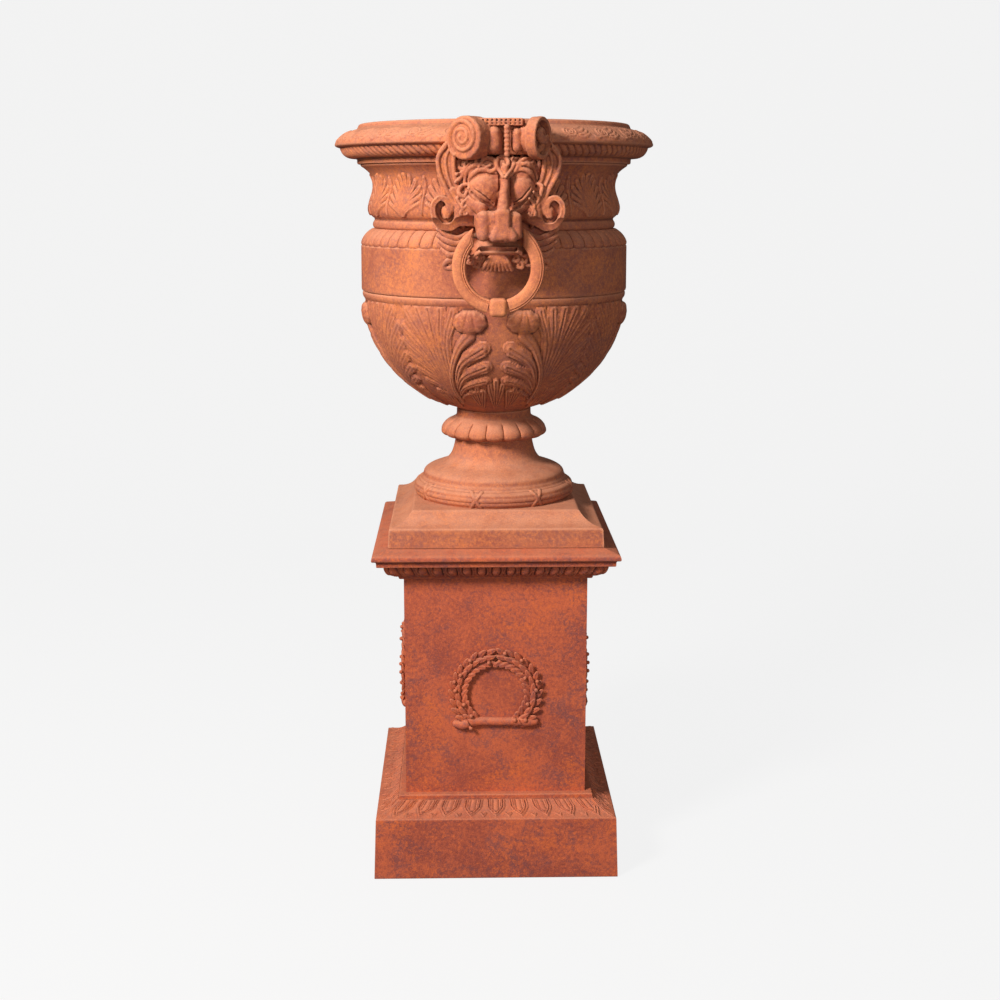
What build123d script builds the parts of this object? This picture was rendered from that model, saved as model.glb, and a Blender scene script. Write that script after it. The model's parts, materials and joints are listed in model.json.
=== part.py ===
"""A cast-iron pedestal urn: a campana urn with two lion masks and drop rings, on a square pedestal.

Units are millimetres. The origin is the middle of the pedestal's foot on the ground, +Z is up,
and the masks look along -Y and +Y. Every casting is a shell, and one tie rod clamps the stack.
"""
import os
from math import sqrt

from build123d import *

WALL = 10                # thickness of the square castings and the panels
SHELL = 9                # thickness of the round castings
ROD_HOLE = 9             # radius of every hole that the tie rod passes through

# Pedestal, from the ground up: heights, and half widths of the square mouldings
PLINTH_HALF, PLINTH_HALF_TOP = 259, 254.5
PLINTH_EDGE_Z = 133      # top edge of the plain plinth block
PLINTH_FILLET_HALF = 207.5
PLINTH_FILLET_Z, PLINTH_TOP_Z = 158, 167
DADO_HALF, DADO_TOP_Z = 192, 643
CAP_NECK_HALF, CAP_NECK_Z = 202, 650
CAP_OVOLO_HALF, CAP_OVOLO_Z = 233, 680
CAP_FILLET_HALF, CAP_FILLET_Z = 246, 692
CAP_SLAB_HALF, CAP_SLAB_Z = 255.5, 704
CAP_TOP_HALF, CAP_TOP_Z = 224.5, 714
ANGLE_LEG, ANGLE_THICK = 42, 6
CAP_PLATE = 12

# Laurel wreaths on the four panels
WREATH_Z, WREATH_R, WREATH_BAND, WREATH_PROUD = 391.5, 79, 22, 15
WREATH_BAR_Z, WREATH_BAR_HALF, WREATH_BAR_HEIGHT = 326.5, 88, 24
RIVET_R = 3

# Urn, from the cap up
BLOCK_HALF, BLOCK_EDGE_HALF, BLOCK_EDGE_Z = 223, 220.5, 755
BLOCK_TOP_HALF, BLOCK_TOP_Z = 173.5, 785
FOOT_R, FOOT_TORUS_Z, DISH_R, INSTEP_R = 174, 826, 150.5, 113
STEM_R, STEM_TOP_Z = 83, 912
COLLAR_R, COLLAR_NECK_R, COLLAR_TOP_Z = 114.5, 80.5, 975
BOWL_R, BOWL_DEPTH, BOWL_CENTRE_Z = 275, 251, 1218
SEAM_Z = 1230            # joint between the bowl and the belt
BELT_R, BELT_TOP_Z = 282.5, 1326
SHOULDER_R, SHOULDER_Z = 254.5, 1360
BEAD_Z = 1379            # top of the half-round bead under the neck
NECK_BULGE_R, NECK_BULGE_Z = 264.5, 1403.5
NECK_R, NECK_Z = 254.5, 1451.5
NECK_TOP_R, NECK_TOP_Z = 281.5, 1492
RIM_BAND_R, RIM_BAND_Z = 287.5, 1504
CABLE_R, CABLE_Z = 322, 1526
LIP_R, LIP_Z = 334.5, 1531.5
RIM_STEP_R, RIM_STEP_Z, RIM_TOP_Z = 286.5, 1562.5, 1573.5
MOUTH_R = 256.5
FLANGE = 10              # thickness of the inner flanges
SEAM_FLANGE_R, SHOULDER_FLANGE_R, NECK_FLANGE_R = 240, 215, 231
DRAIN_R, DRAIN_PITCH_R = 6, 50

# Tie rod
ROD_R, ROD_BOTTOM_Z, ROD_TOP_Z = 8, 112, 1028
BOWL_FLOOR_Z = 989
WASHER_R, WASHER_THICK, NUT_ACROSS, NUT_HEIGHT = 22, 4, 24, 13
ANCHOR_HALF, ANCHOR_WIDTH, ANCHOR_THICK = 172, 50, 10

# Lion masks, for the one that looks along -Y
VOLUTE_R, VOLUTE_LENGTH, VOLUTE_Z = 40, 49, 1534
LEFT_VOLUTE_X, LEFT_VOLUTE_Y, LEFT_VOLUTE_TURN = -68, -374, 40
RIGHT_VOLUTE_X, RIGHT_VOLUTE_Y, RIGHT_VOLUTE_TURN = 84, -362, 62
LOWER_VOLUTE_R, LOWER_VOLUTE_X, LOWER_VOLUTE_Y, LOWER_VOLUTE_Z = 31, 97, -344, 1398
MUZZLE_HALF, MUZZLE_BOTTOM_Z, MUZZLE_TOP_Z, MUZZLE_FRONT = 44, 1342.5, 1413, -402
HEAD_R, HEAD_Y, HEAD_Z = 79, -293, 1436
MASK_BACK = -282         # the head, the muzzle and the scrolls reach back to here, inside the ruff
BEARD_HALF, BEARD_BOTTOM_Z, BEARD_TOP_Z, BEARD_FRONT = 58.5, 1289, 1340, -322

# Drop rings
RING_R, RING_BAND, RING_THICK = 87.5, 26.5, 18
RING_Y, RING_Z = -363.5, 1295.5
RING_CUT = 46            # the arms stop this far from the mask's middle plane
PIN_R, PIN_Z = 5, 1356
PIN_RUN = 0.06           # radial running clearance of the pin in the muzzle
KNOB_HALF, KNOB_HEIGHT, KNOB_DEPTH = 17, 36, 32
KNOB_GAP = 13            # half of the gap between the two arms under the knob

os.makedirs("parts", exist_ok=True)
parts = {}


def outline(start, *steps):
    """Closed edges in the (radius, height) plane: a point is a straight run to it, and a pair of
    points is an arc through the first to the second."""
    edges, here = [], start
    for step in [*steps, start]:
        if isinstance(step[0], tuple):
            middle, end = step
            edges.append(ThreePointArc(here, middle, end))
        else:
            end = step
            edges.append(Line(here, end))
        here = end
    return edges


def turned(edges):
    """A round casting: the outline turned about Z."""
    return revolve(Plane.XZ * make_face(edges), axis=Axis.Z)


def squared(half_outline):
    """A square casting: the outline of one half, mirrored and run along both sides, with mitred corners."""
    half = make_face(half_outline)
    face = Plane.XZ * (half + mirror(half, about=Plane.YZ))
    along_y = extrude(face, amount=2 * LIP_R, both=True)
    return along_y & along_y.rotate(Axis.Z, 90)


def tube(radius, low_z, high_z, x=0, y=0):
    """A plain upright cylinder between two heights."""
    return Pos(x, y, (low_z + high_z) / 2) * Cylinder(radius, high_z - low_z)


def block(x, y, z):
    """A box between two limits on each axis."""
    size = [high - low for low, high in (x, y, z)]
    middle = [(low + high) / 2 for low, high in (x, y, z)]
    return Pos(*middle) * Box(*size)


def hexagon(across, low_z, height):
    """An upright hexagonal prism, for a nut or a bolt head."""
    return Pos(0, 0, low_z) * extrude(RegularPolygon(across / sqrt(3), 6), amount=height)


def around(shape, count, start=0):
    """Copies of a shape, evenly spaced about Z."""
    return [shape.rotate(Axis.Z, start + 360 * k / count) for k in range(count)]


# ---------------------------------------------------------------- pedestal

def plinth_casting():
    outer = squared(outline(
        (0, 0), (PLINTH_HALF, 0), (PLINTH_HALF_TOP, PLINTH_EDGE_Z),
        ((231, 140), (PLINTH_FILLET_HALF + 4, PLINTH_FILLET_Z - 3)),
        (PLINTH_FILLET_HALF, PLINTH_FILLET_Z), (PLINTH_FILLET_HALF, PLINTH_TOP_Z), (0, PLINTH_TOP_Z),
    ))
    hollow = squared(outline(
        (0, -1), (PLINTH_HALF - WALL, -1), (PLINTH_HALF_TOP - WALL, PLINTH_EDGE_Z - WALL),
        (PLINTH_FILLET_HALF - WALL, PLINTH_TOP_Z - 1.2 * WALL), (0, PLINTH_TOP_Z - 1.2 * WALL),
    ))
    opening = block((-150, 150), (-150, 150), (PLINTH_TOP_Z - 2 * WALL, PLINTH_TOP_Z + 1))
    return outer - hollow - opening


def corner_screw_places():
    """Heights of the screws on the two legs of a corner angle, so that their heads stay apart."""
    return {"x": (215, 405, 595), "y": (240, 430, 570)}


def side_screw(z, length):
    """A hexagon screw that runs along +X into the panel's inner face, from the inside of an angle."""
    seat = DADO_HALF - WALL - ANGLE_THICK
    head = extrude(RegularPolygon(13 / sqrt(3), 6), amount=5.3)
    shank = Pos(0, 0, 5.3) * extrude(Circle(4), amount=length)
    return Pos(seat - 5.3, 0, z) * Rot(0, 90, 0) * (head + shank)


def corner_screws():
    """Two rows of three screws at each corner."""
    places = corner_screw_places()
    offset = DADO_HALF - WALL - ANGLE_LEG / 2 - 4
    screws = []
    for z in places["x"]:
        screws.append(Pos(0, offset, 0) * side_screw(z, ANGLE_THICK + 7))
    for z in places["y"]:
        screws.append((Pos(0, -offset, 0) * side_screw(z, ANGLE_THICK + 7)).rotate(Axis.Z, 90))
    return [turned_copy for screw in screws for turned_copy in around(screw, 4)]


def dado_panel(screws):
    """The front panel, mitred at both ends, with blind holes for the corner screws."""
    face = make_face(Polyline(
        (-DADO_HALF, -DADO_HALF), (DADO_HALF, -DADO_HALF),
        (DADO_HALF - WALL, WALL - DADO_HALF), (WALL - DADO_HALF, WALL - DADO_HALF), close=True,
    ))
    panel = Pos(0, 0, PLINTH_TOP_Z) * extrude(face, amount=DADO_TOP_Z - PLINTH_TOP_Z)
    panel -= [rivet for rivet in wreath_rivets()]
    return panel - screws


def wreath_rivets():
    """Three rivets that hold a wreath to its panel."""
    places = [(0, WREATH_Z + WREATH_R), (-WREATH_BAR_HALF + 22, WREATH_BAR_Z), (WREATH_BAR_HALF - 22, WREATH_BAR_Z)]
    run = WALL + 8
    rivets = []
    for x, z in places:
        shank = Rot(90, 0, 0) * Cylinder(RIVET_R, run)
        head = Rot(90, 0, 0) * Cylinder(2 * RIVET_R, 3)
        inner_face = WALL - DADO_HALF
        rivets.append(Pos(x, inner_face - run / 2, z) * shank + Pos(x, inner_face + 1.5, z) * head)
    return rivets


def wreath():
    """The front wreath: a flat torus band over a ribbon bar, on the panel's face."""
    face_y = -DADO_HALF
    section = Pos(WREATH_R, 0) * Ellipse(WREATH_BAND, WREATH_PROUD)
    ring = revolve(Plane.XY * section, axis=Axis.Y)
    ring = Pos(0, face_y, WREATH_Z) * ring
    bar = Pos(0, face_y, WREATH_BAR_Z) * Rot(0, 90, 0) * Cylinder(WREATH_BAR_HEIGHT / 2, 2 * WREATH_BAR_HALF)
    front = block((-150, 150), (face_y - 40, face_y), (WREATH_BAR_Z - 2, 600))
    skirt = block((-150, 150), (face_y - 40, face_y), (WREATH_BAR_Z - 20, 600))
    return (ring & front) + (bar & skirt) - wreath_rivets()


def corner_angle(screws):
    """One angle iron inside a corner of the dado."""
    out = DADO_HALF - WALL
    legs = block((out - ANGLE_LEG, out), (out - ANGLE_LEG, out), (PLINTH_TOP_Z, DADO_TOP_Z - 12))
    legs -= block((0, out - ANGLE_THICK), (0, out - ANGLE_THICK), (0, DADO_TOP_Z))
    return legs - screws


def cap_casting():
    outer = squared(outline(
        (0, DADO_TOP_Z), (DADO_HALF + 6, DADO_TOP_Z), (CAP_NECK_HALF, DADO_TOP_Z + 2), (CAP_NECK_HALF, CAP_NECK_Z),
        ((CAP_OVOLO_HALF - 9, CAP_NECK_Z + 12), (CAP_OVOLO_HALF, CAP_OVOLO_Z)),
        (CAP_FILLET_HALF, CAP_OVOLO_Z), (CAP_FILLET_HALF, CAP_FILLET_Z), (CAP_SLAB_HALF, CAP_FILLET_Z + 2),
        (CAP_SLAB_HALF, CAP_SLAB_Z - 4), ((CAP_SLAB_HALF - 3, CAP_SLAB_Z + 2), (CAP_SLAB_HALF - 9, CAP_SLAB_Z + 4)),
        (CAP_TOP_HALF, CAP_TOP_Z), (0, CAP_TOP_Z),
    ))
    hollow = squared(outline(
        (0, DADO_TOP_Z - 1), (DADO_HALF - WALL, DADO_TOP_Z - 1), (DADO_HALF - WALL, CAP_NECK_Z),
        (CAP_OVOLO_HALF - WALL, CAP_OVOLO_Z), (CAP_OVOLO_HALF - WALL, CAP_TOP_Z - CAP_PLATE),
        (0, CAP_TOP_Z - CAP_PLATE),
    ))
    return outer - hollow - tube(ROD_HOLE, CAP_SLAB_Z - 40, CAP_TOP_Z + 1)


# ---------------------------------------------------------------- urn

def base_block():
    outer = squared(outline(
        (0, CAP_TOP_Z), (BLOCK_HALF, CAP_TOP_Z), (BLOCK_EDGE_HALF, BLOCK_EDGE_Z),
        ((BLOCK_TOP_HALF + 17, BLOCK_EDGE_Z + 8), (BLOCK_TOP_HALF, BLOCK_TOP_Z)), (0, BLOCK_TOP_Z),
    ))
    hollow = squared(outline(
        (0, CAP_TOP_Z - 1), (BLOCK_HALF - WALL, CAP_TOP_Z - 1), (BLOCK_EDGE_HALF - WALL, BLOCK_EDGE_Z - WALL),
        (BLOCK_TOP_HALF - WALL, BLOCK_TOP_Z - 1.6 * WALL), (0, BLOCK_TOP_Z - 1.6 * WALL),
    ))
    return outer - hollow - tube(ROD_HOLE, BLOCK_EDGE_Z, BLOCK_TOP_Z + 1)


def foot_stem():
    """The round foot: a reeded torus, a dished top and a waisted stem."""
    half = (FOOT_TORUS_Z - BLOCK_TOP_Z) / 2
    outer = turned(outline(
        (0, BLOCK_TOP_Z), (FOOT_R - 4, BLOCK_TOP_Z),
        ((FOOT_R, BLOCK_TOP_Z + half * 0.9), (DISH_R + 3, FOOT_TORUS_Z)),
        (DISH_R, FOOT_TORUS_Z + 4),
        ((DISH_R - 3, FOOT_TORUS_Z + 15), (DISH_R - 13, FOOT_TORUS_Z + 21)),
        (INSTEP_R, FOOT_TORUS_Z + 28.5),
        ((INSTEP_R - 18, FOOT_TORUS_Z + 43), (STEM_R + 4, FOOT_TORUS_Z + 63)),
        (STEM_R, STEM_TOP_Z), (0, STEM_TOP_Z),
    ))
    hollow = turned(outline(
        (0, BLOCK_TOP_Z - 1), (DISH_R - 4, BLOCK_TOP_Z - 1), (DISH_R - 4, FOOT_TORUS_Z + 4),
        (INSTEP_R, FOOT_TORUS_Z + 17), ((INSTEP_R - 22, FOOT_TORUS_Z + 31), (STEM_R - SHELL + 3, FOOT_TORUS_Z + 60)),
        (STEM_R - SHELL, STEM_TOP_Z - SHELL), (0, STEM_TOP_Z - SHELL),
    ))
    return outer - hollow - tube(ROD_HOLE, STEM_TOP_Z - 20, STEM_TOP_Z + 1)


def collar():
    """The gadrooned collar between the stem and the bowl."""
    return turned(outline(
        (ROD_HOLE, STEM_TOP_Z), (STEM_R, STEM_TOP_Z), (COLLAR_R - 8, STEM_TOP_Z + 7), (COLLAR_R, STEM_TOP_Z + 13),
        ((COLLAR_R - 8, STEM_TOP_Z + 31), (COLLAR_NECK_R + 6, STEM_TOP_Z + 42)),
        ((COLLAR_NECK_R + 1, STEM_TOP_Z + 46), (COLLAR_NECK_R, STEM_TOP_Z + 52)),
        (COLLAR_NECK_R, COLLAR_TOP_Z), (COLLAR_NECK_R - SHELL, COLLAR_TOP_Z),
        (COLLAR_NECK_R - SHELL, STEM_TOP_Z + SHELL), (ROD_HOLE, STEM_TOP_Z + SHELL),
    ))


def flange_bolts(radius, joint_z, count, start=0):
    """Hexagon bolts with nuts through a pair of inner flanges."""
    shank = tube(5, joint_z - FLANGE - 12, joint_z + FLANGE)
    head = hexagon(16, joint_z + FLANGE, 6.4)
    nut = hexagon(16, joint_z - FLANGE - 8, 8) - tube(5, joint_z - 40, joint_z + 40)
    bolt = Pos(radius, 0, 0) * (shank + head)
    nut = Pos(radius, 0, 0) * nut
    return around(bolt, count, start) + around(nut, count, start)


def bolt_holes(radius, joint_z, count, start=0):
    """Clearance holes for flange bolts."""
    return around(tube(5.5, joint_z - FLANGE - 1, joint_z + FLANGE + 1, x=radius), count, start)


def bowl():
    """The lower bowl, a half ellipse, with a thick floor, drain holes and a flange at the seam."""
    centre = (0, BOWL_CENTRE_Z)
    skin = EllipticalCenterArc(centre, BOWL_R, BOWL_DEPTH, start_angle=-73, arc_size=73)
    lining = EllipticalCenterArc(centre, BOWL_R - SHELL, BOWL_DEPTH - SHELL, start_angle=-67, arc_size=67)
    skin_low, skin_high, lining_low, lining_high = skin @ 0, skin @ 1, lining @ 0, lining @ 1
    outer = turned([
        Line((0, COLLAR_TOP_Z), (COLLAR_NECK_R, COLLAR_TOP_Z)), Line((COLLAR_NECK_R, COLLAR_TOP_Z), skin_low),
        skin, Line(skin_high, (BELT_R, BOWL_CENTRE_Z)), Line((BELT_R, BOWL_CENTRE_Z), (BELT_R - 2, SEAM_Z)),
        Line((BELT_R - 2, SEAM_Z), (0, SEAM_Z)), Line((0, SEAM_Z), (0, COLLAR_TOP_Z)),
    ])
    hollow = turned([
        Line((0, BOWL_FLOOR_Z), (lining_low.X * 0.85, BOWL_FLOOR_Z)),
        Line((lining_low.X * 0.85, BOWL_FLOOR_Z), lining_low), lining,
        Line(lining_high, (lining_high.X, SEAM_Z + 1)), Line((lining_high.X, SEAM_Z + 1), (0, SEAM_Z + 1)),
        Line((0, SEAM_Z + 1), (0, BOWL_FLOOR_Z)),
    ])
    flange = tube(BOWL_R - SHELL / 2, SEAM_Z - FLANGE, SEAM_Z) - tube(SEAM_FLANGE_R, SEAM_Z - 20, SEAM_Z + 1)
    drains = around(tube(DRAIN_R, COLLAR_TOP_Z - 1, BOWL_FLOOR_Z + 1, x=DRAIN_PITCH_R), 3, 30)
    solid = outer - hollow + flange - tube(ROD_HOLE, COLLAR_TOP_Z - 1, BOWL_FLOOR_Z + 1)
    return solid - drains - bolt_holes(SEAM_FLANGE_R + 14, SEAM_Z, 8, 22.5)


def belt():
    """The plain belt and the fluted shoulder above it, flanged at both ends."""
    outer = outline(
        (SEAM_FLANGE_R, SEAM_Z), (BELT_R - 2, SEAM_Z), (BELT_R, SEAM_Z + 10), (BELT_R - 2, BELT_TOP_Z),
        ((BELT_R - 8, BELT_TOP_Z + 19), (SHOULDER_R, SHOULDER_Z - 2)), (SHOULDER_R, SHOULDER_Z),
        (SHOULDER_FLANGE_R, SHOULDER_Z), (SHOULDER_FLANGE_R, SHOULDER_Z - FLANGE),
        (SHOULDER_R - 16, SHOULDER_Z - FLANGE),
        ((BELT_R - SHELL - 11, BELT_TOP_Z + 12), (BELT_R - SHELL - 2, BELT_TOP_Z)),
        (BELT_R - SHELL, SEAM_Z + FLANGE), (SEAM_FLANGE_R, SEAM_Z + FLANGE),
    )
    holes = bolt_holes(SEAM_FLANGE_R + 14, SEAM_Z, 8, 22.5) + bolt_holes(SHOULDER_FLANGE_R + 10, SHOULDER_Z, 8, 0)
    pads = mask_pads(BELT_R - SHELL, *BELT_BOLTS)
    return turned(outer) + pads - holes - mask_bolts()


def neck():
    """The bead and the waisted neck, flanged at both ends."""
    middle_bead = (SHOULDER_Z + BEAD_Z) / 2
    outer = outline(
        (SHOULDER_FLANGE_R, SHOULDER_Z), (SHOULDER_R - 2, SHOULDER_Z),
        ((SHOULDER_R + 2.5, middle_bead - 4), (SHOULDER_R - 2, middle_bead + 3)), (SHOULDER_R - 2, BEAD_Z),
        ((NECK_BULGE_R - 3, BEAD_Z + 9), (NECK_BULGE_R, NECK_BULGE_Z)),
        ((NECK_BULGE_R - 3.5, NECK_BULGE_Z + 19), (NECK_R, NECK_Z)),
        ((NECK_R + 8.5, NECK_Z + 25), (NECK_TOP_R, NECK_TOP_Z - 4)), (NECK_TOP_R, NECK_TOP_Z),
        (NECK_FLANGE_R, NECK_TOP_Z), (NECK_FLANGE_R, NECK_TOP_Z - FLANGE), (NECK_R + 4, NECK_TOP_Z - FLANGE),
        ((NECK_R - SHELL + 2, NECK_Z + 14), (NECK_R - SHELL, NECK_Z)),
        (NECK_R - SHELL, SHOULDER_Z + FLANGE), (SHOULDER_FLANGE_R, SHOULDER_Z + FLANGE),
    )
    holes = bolt_holes(SHOULDER_FLANGE_R + 10, SHOULDER_Z, 8, 0) + bolt_holes(NECK_FLANGE_R + 10, NECK_TOP_Z, 8, 22.5)
    pads = mask_pads(NECK_R - SHELL, *NECK_BOLTS)
    return turned(outer) + pads - holes - mask_bolts()


def rim():
    """The rim: a plain band, a cable ovolo, the overhanging lip and a raised ring round the mouth."""
    outer = outline(
        (NECK_FLANGE_R, NECK_TOP_Z), (RIM_BAND_R, NECK_TOP_Z), (RIM_BAND_R, RIM_BAND_Z), (RIM_BAND_R + 4, RIM_BAND_Z),
        ((CABLE_R - 8, RIM_BAND_Z + 7), (CABLE_R, CABLE_Z)), (LIP_R - 2, CABLE_Z + 2), (LIP_R, LIP_Z),
        ((LIP_R - 17, LIP_Z + 21), (RIM_STEP_R + 3, RIM_STEP_Z)), (RIM_STEP_R, RIM_STEP_Z), (RIM_STEP_R - 6, RIM_TOP_Z),
        (MOUTH_R, RIM_TOP_Z), (MOUTH_R, NECK_TOP_Z + FLANGE), (NECK_FLANGE_R, NECK_TOP_Z + FLANGE),
    )
    return turned(outer) - bolt_holes(NECK_FLANGE_R + 10, NECK_TOP_Z, 8, 22.5)


# ---------------------------------------------------------------- masks and rings

NECK_BOLTS = (1443, 13)       # height, and angle each side of the mask's middle
BELT_BOLTS = (1305, 8)
MASK_PAD_R, MASK_PAD_PROUD = 13, 6


def radial(shape, inner_radius, z, angle):
    """A shape drawn along +Z from 0, laid outwards from a radius, towards -Y and then turned."""
    return (Pos(0, -inner_radius, z) * Rot(90, 0, 0) * shape).rotate(Axis.Z, angle)


def both_sides(shapes):
    """The front shapes and their copies at the back."""
    return shapes + [shape.rotate(Axis.Z, 180) for shape in shapes]


def mask_pads(inner_radius, z, angle):
    """Flat pads inside the wall, where the mask bolts' heads sit."""
    pad = Pos(0, 0, MASK_PAD_PROUD / 2 + 1) * Cylinder(MASK_PAD_R, MASK_PAD_PROUD + 2)
    return both_sides([radial(pad, inner_radius - MASK_PAD_PROUD, z, side * angle) for side in (-1, 1)])


def front_mask_bolts():
    """The four bolts of the front mask, from the pads into the casting."""
    head = Pos(0, 0, -6.4) * extrude(RegularPolygon(16 / sqrt(3), 6), amount=6.4)
    shank = extrude(Circle(5), amount=34)
    bolts = []
    for (z, angle), inner in ((NECK_BOLTS, NECK_R - SHELL), (BELT_BOLTS, BELT_R - SHELL)):
        for side in (-1, 1):
            bolts.append(radial(head + shank, inner - MASK_PAD_PROUD, z, side * angle))
    return bolts


def mask_bolts():
    return both_sides(front_mask_bolts())


def upper_volute(x, y, turn):
    """A rolled volute over the rim. Its round face looks outwards, turned from -Y by an angle."""
    roll = Pos(0, 0, -VOLUTE_LENGTH / 2) * Cylinder(VOLUTE_R, VOLUTE_LENGTH)
    boss = Pos(0, 0, 3) * Cylinder(12, 6)
    lying = Rot(90, 0, 0) * (roll + boss)
    return Pos(x, y, VOLUTE_Z) * lying.rotate(Axis.Z, turn)


def strap(side):
    """The strap that joins an upper volute to the lower one, as it is seen from the front."""
    face = make_face(Polyline(
        (side * 56, VOLUTE_Z + 20), (side * 101, VOLUTE_Z), (side * 109, VOLUTE_Z - 40), (side * 86, HEAD_Z + 4),
        (side * 111, LOWER_VOLUTE_Z + 16), (side * 98, LOWER_VOLUTE_Z - 20), (side * 56, LOWER_VOLUTE_Z - 11),
        (side * 47, HEAD_Z + 25), close=True,
    ))
    return extrude(Plane.XZ * face, amount=-LOWER_VOLUTE_Y + 2) - block((-200, 200), (MASK_BACK, 10), (1200, 1700))


def lion_mask(urn_pieces, ring_space):
    """The front mask, one casting, cut to sit on the neck, the belt and the rim."""
    head = Pos(0, HEAD_Y, HEAD_Z) * Sphere(HEAD_R)
    brow = block((-62, 62), (-367, MASK_BACK), (HEAD_Z, HEAD_Z + 51))
    muzzle = block((-MUZZLE_HALF, MUZZLE_HALF), (MUZZLE_FRONT, MASK_BACK), (MUZZLE_BOTTOM_Z, MUZZLE_TOP_Z))
    muzzle = fillet(muzzle.edges().filter_by(Axis.Z).group_by(Axis.Y)[0], 20)
    baluster = block((-41, 49), (-372, MASK_BACK), (VOLUTE_Z - 28, RIM_TOP_Z - 4))
    beard = block((-BEARD_HALF, BEARD_HALF), (BEARD_FRONT, MASK_BACK + 20), (BEARD_BOTTOM_Z, BEARD_TOP_Z))
    mane = block((-105, 105), (-311, -226), (BEARD_TOP_Z - 22, HEAD_Z + 52))
    lower = [
        Pos(side * LOWER_VOLUTE_X, LOWER_VOLUTE_Y + 38, LOWER_VOLUTE_Z) * Rot(90, 0, 0) * Cylinder(LOWER_VOLUTE_R, 76)
        for side in (-1, 1)
    ]
    shape = mane + head + brow + muzzle + baluster + beard + lower + [strap(-1), strap(1)]
    shape += upper_volute(LEFT_VOLUTE_X, LEFT_VOLUTE_Y, -LEFT_VOLUTE_TURN)
    shape += upper_volute(RIGHT_VOLUTE_X, RIGHT_VOLUTE_Y, RIGHT_VOLUTE_TURN)
    shape -= urn_pieces
    shape -= tube(NECK_R - SHELL, SEAM_Z, RIM_TOP_Z + 40)
    shape -= ring_space
    pin_bore = Pos(0, RING_Y, PIN_Z) * Rot(0, 90, 0) * Cylinder(PIN_R + PIN_RUN, 200)
    shape = shape - pin_bore - front_mask_bolts()
    return max(shape.solids(), key=lambda solid: solid.volume)


def ring_space():
    """The room beside the muzzle that the arms turn in."""
    spaces = []
    for side in (-1, 1):
        swing = Rot(0, 90, 0) * Cylinder(38, 120)
        spaces.append(Pos(side * (RING_CUT - 0.8 + 60), RING_Y, PIN_Z) * swing)
    return spaces


def ring_arm(side):
    """Half of the drop ring: a flat band with rounded edges, cut off beside the muzzle and at the knob."""
    half_band, half_thick = RING_BAND / 2, RING_THICK / 2
    section = Pos(RING_R - half_band, 0) * RectangleRounded(RING_BAND, RING_THICK, 6)
    band = Pos(0, RING_Y, RING_Z) * revolve(section, axis=Axis.Y)
    upper = block((RING_CUT, 200), (-600, 0), (RING_Z, 1600))
    lower = block((KNOB_GAP, 200), (-600, 0), (1000, RING_Z))
    arm = band & (upper + lower)
    knob_seat = block((0, KNOB_HALF), (-600, 0), (1000, RING_Z - RING_R + KNOB_HEIGHT + 5))
    arm = arm - knob_seat
    arm = arm + tenon()
    arm -= Pos(RING_CUT, RING_Y, PIN_Z) * Rot(0, 90, 0) * Cylinder(PIN_R, 2 * 8)
    return arm if side > 0 else mirror(arm, about=Plane.YZ)


def tenon():
    """The round end of the right arm that goes into the knob."""
    z = RING_Z - RING_R + RING_BAND / 2
    return Pos((KNOB_GAP + KNOB_HALF) / 2 + 2, RING_Y, z + 1) * Rot(0, 90, 0) * Cylinder(6, KNOB_HALF - KNOB_GAP + 4)


def ring_knob(arms):
    """The knob that closes the ring."""
    z = RING_Z - RING_R + RING_BAND / 2
    knob = Pos(0, RING_Y, z) * Box(2 * KNOB_HALF, KNOB_DEPTH, KNOB_HEIGHT)
    knob = fillet(knob.edges(), 9)
    return knob - arms


def ring_pin():
    """The pin that the ring turns on: it runs in the muzzle and is pressed into both arms."""
    return Pos(0, RING_Y, PIN_Z) * Rot(0, 90, 0) * Cylinder(PIN_R, 2 * (RING_CUT + 8))


# ---------------------------------------------------------------- the assembly

def pedestal():
    screws = corner_screws()
    parts["plinth_casting"] = plinth_casting()
    front_panel, front_wreath = dado_panel(screws), wreath()
    rivets = wreath_rivets()
    for name, turn in (("front", 0), ("right", 90), ("back", 180), ("left", 270)):
        parts["dado_panel_" + name] = front_panel.rotate(Axis.Z, turn)
        parts["wreath_" + name] = front_wreath.rotate(Axis.Z, turn)
        parts["wreath_rivets_" + name] = Compound(children=[r.rotate(Axis.Z, turn) for r in rivets])
    angle = corner_angle(screws)
    for name, turn in (("front_right", 270), ("back_right", 0), ("back_left", 90), ("front_left", 180)):
        parts["corner_angle_" + name] = angle.rotate(Axis.Z, turn)
    parts["corner_screws"] = Compound(children=screws)
    parts["cap_casting"] = cap_casting()


def tie():
    parts["tie_rod"] = tube(ROD_R, ROD_BOTTOM_Z, ROD_TOP_Z)
    anchor_top = PLINTH_TOP_Z - 1.2 * WALL
    anchor = block(
        (-ANCHOR_HALF, ANCHOR_HALF), (-ANCHOR_WIDTH / 2, ANCHOR_WIDTH / 2), (anchor_top - ANCHOR_THICK, anchor_top),
    )
    parts["anchor_bar"] = anchor - tube(ROD_HOLE, 0, 300)
    for name, seat, way in (("lower", anchor_top - ANCHOR_THICK, -1), ("upper", BOWL_FLOOR_Z, 1)):
        washer_z = seat + way * WASHER_THICK
        parts["tie_washer_" + name] = tube(WASHER_R, min(seat, washer_z), max(seat, washer_z)) - tube(ROD_R, 0, 2000)
        nut_low = washer_z if way > 0 else washer_z - NUT_HEIGHT
        parts["tie_nut_" + name] = hexagon(NUT_ACROSS, nut_low, NUT_HEIGHT) - tube(ROD_R, 0, 2000)


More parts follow.
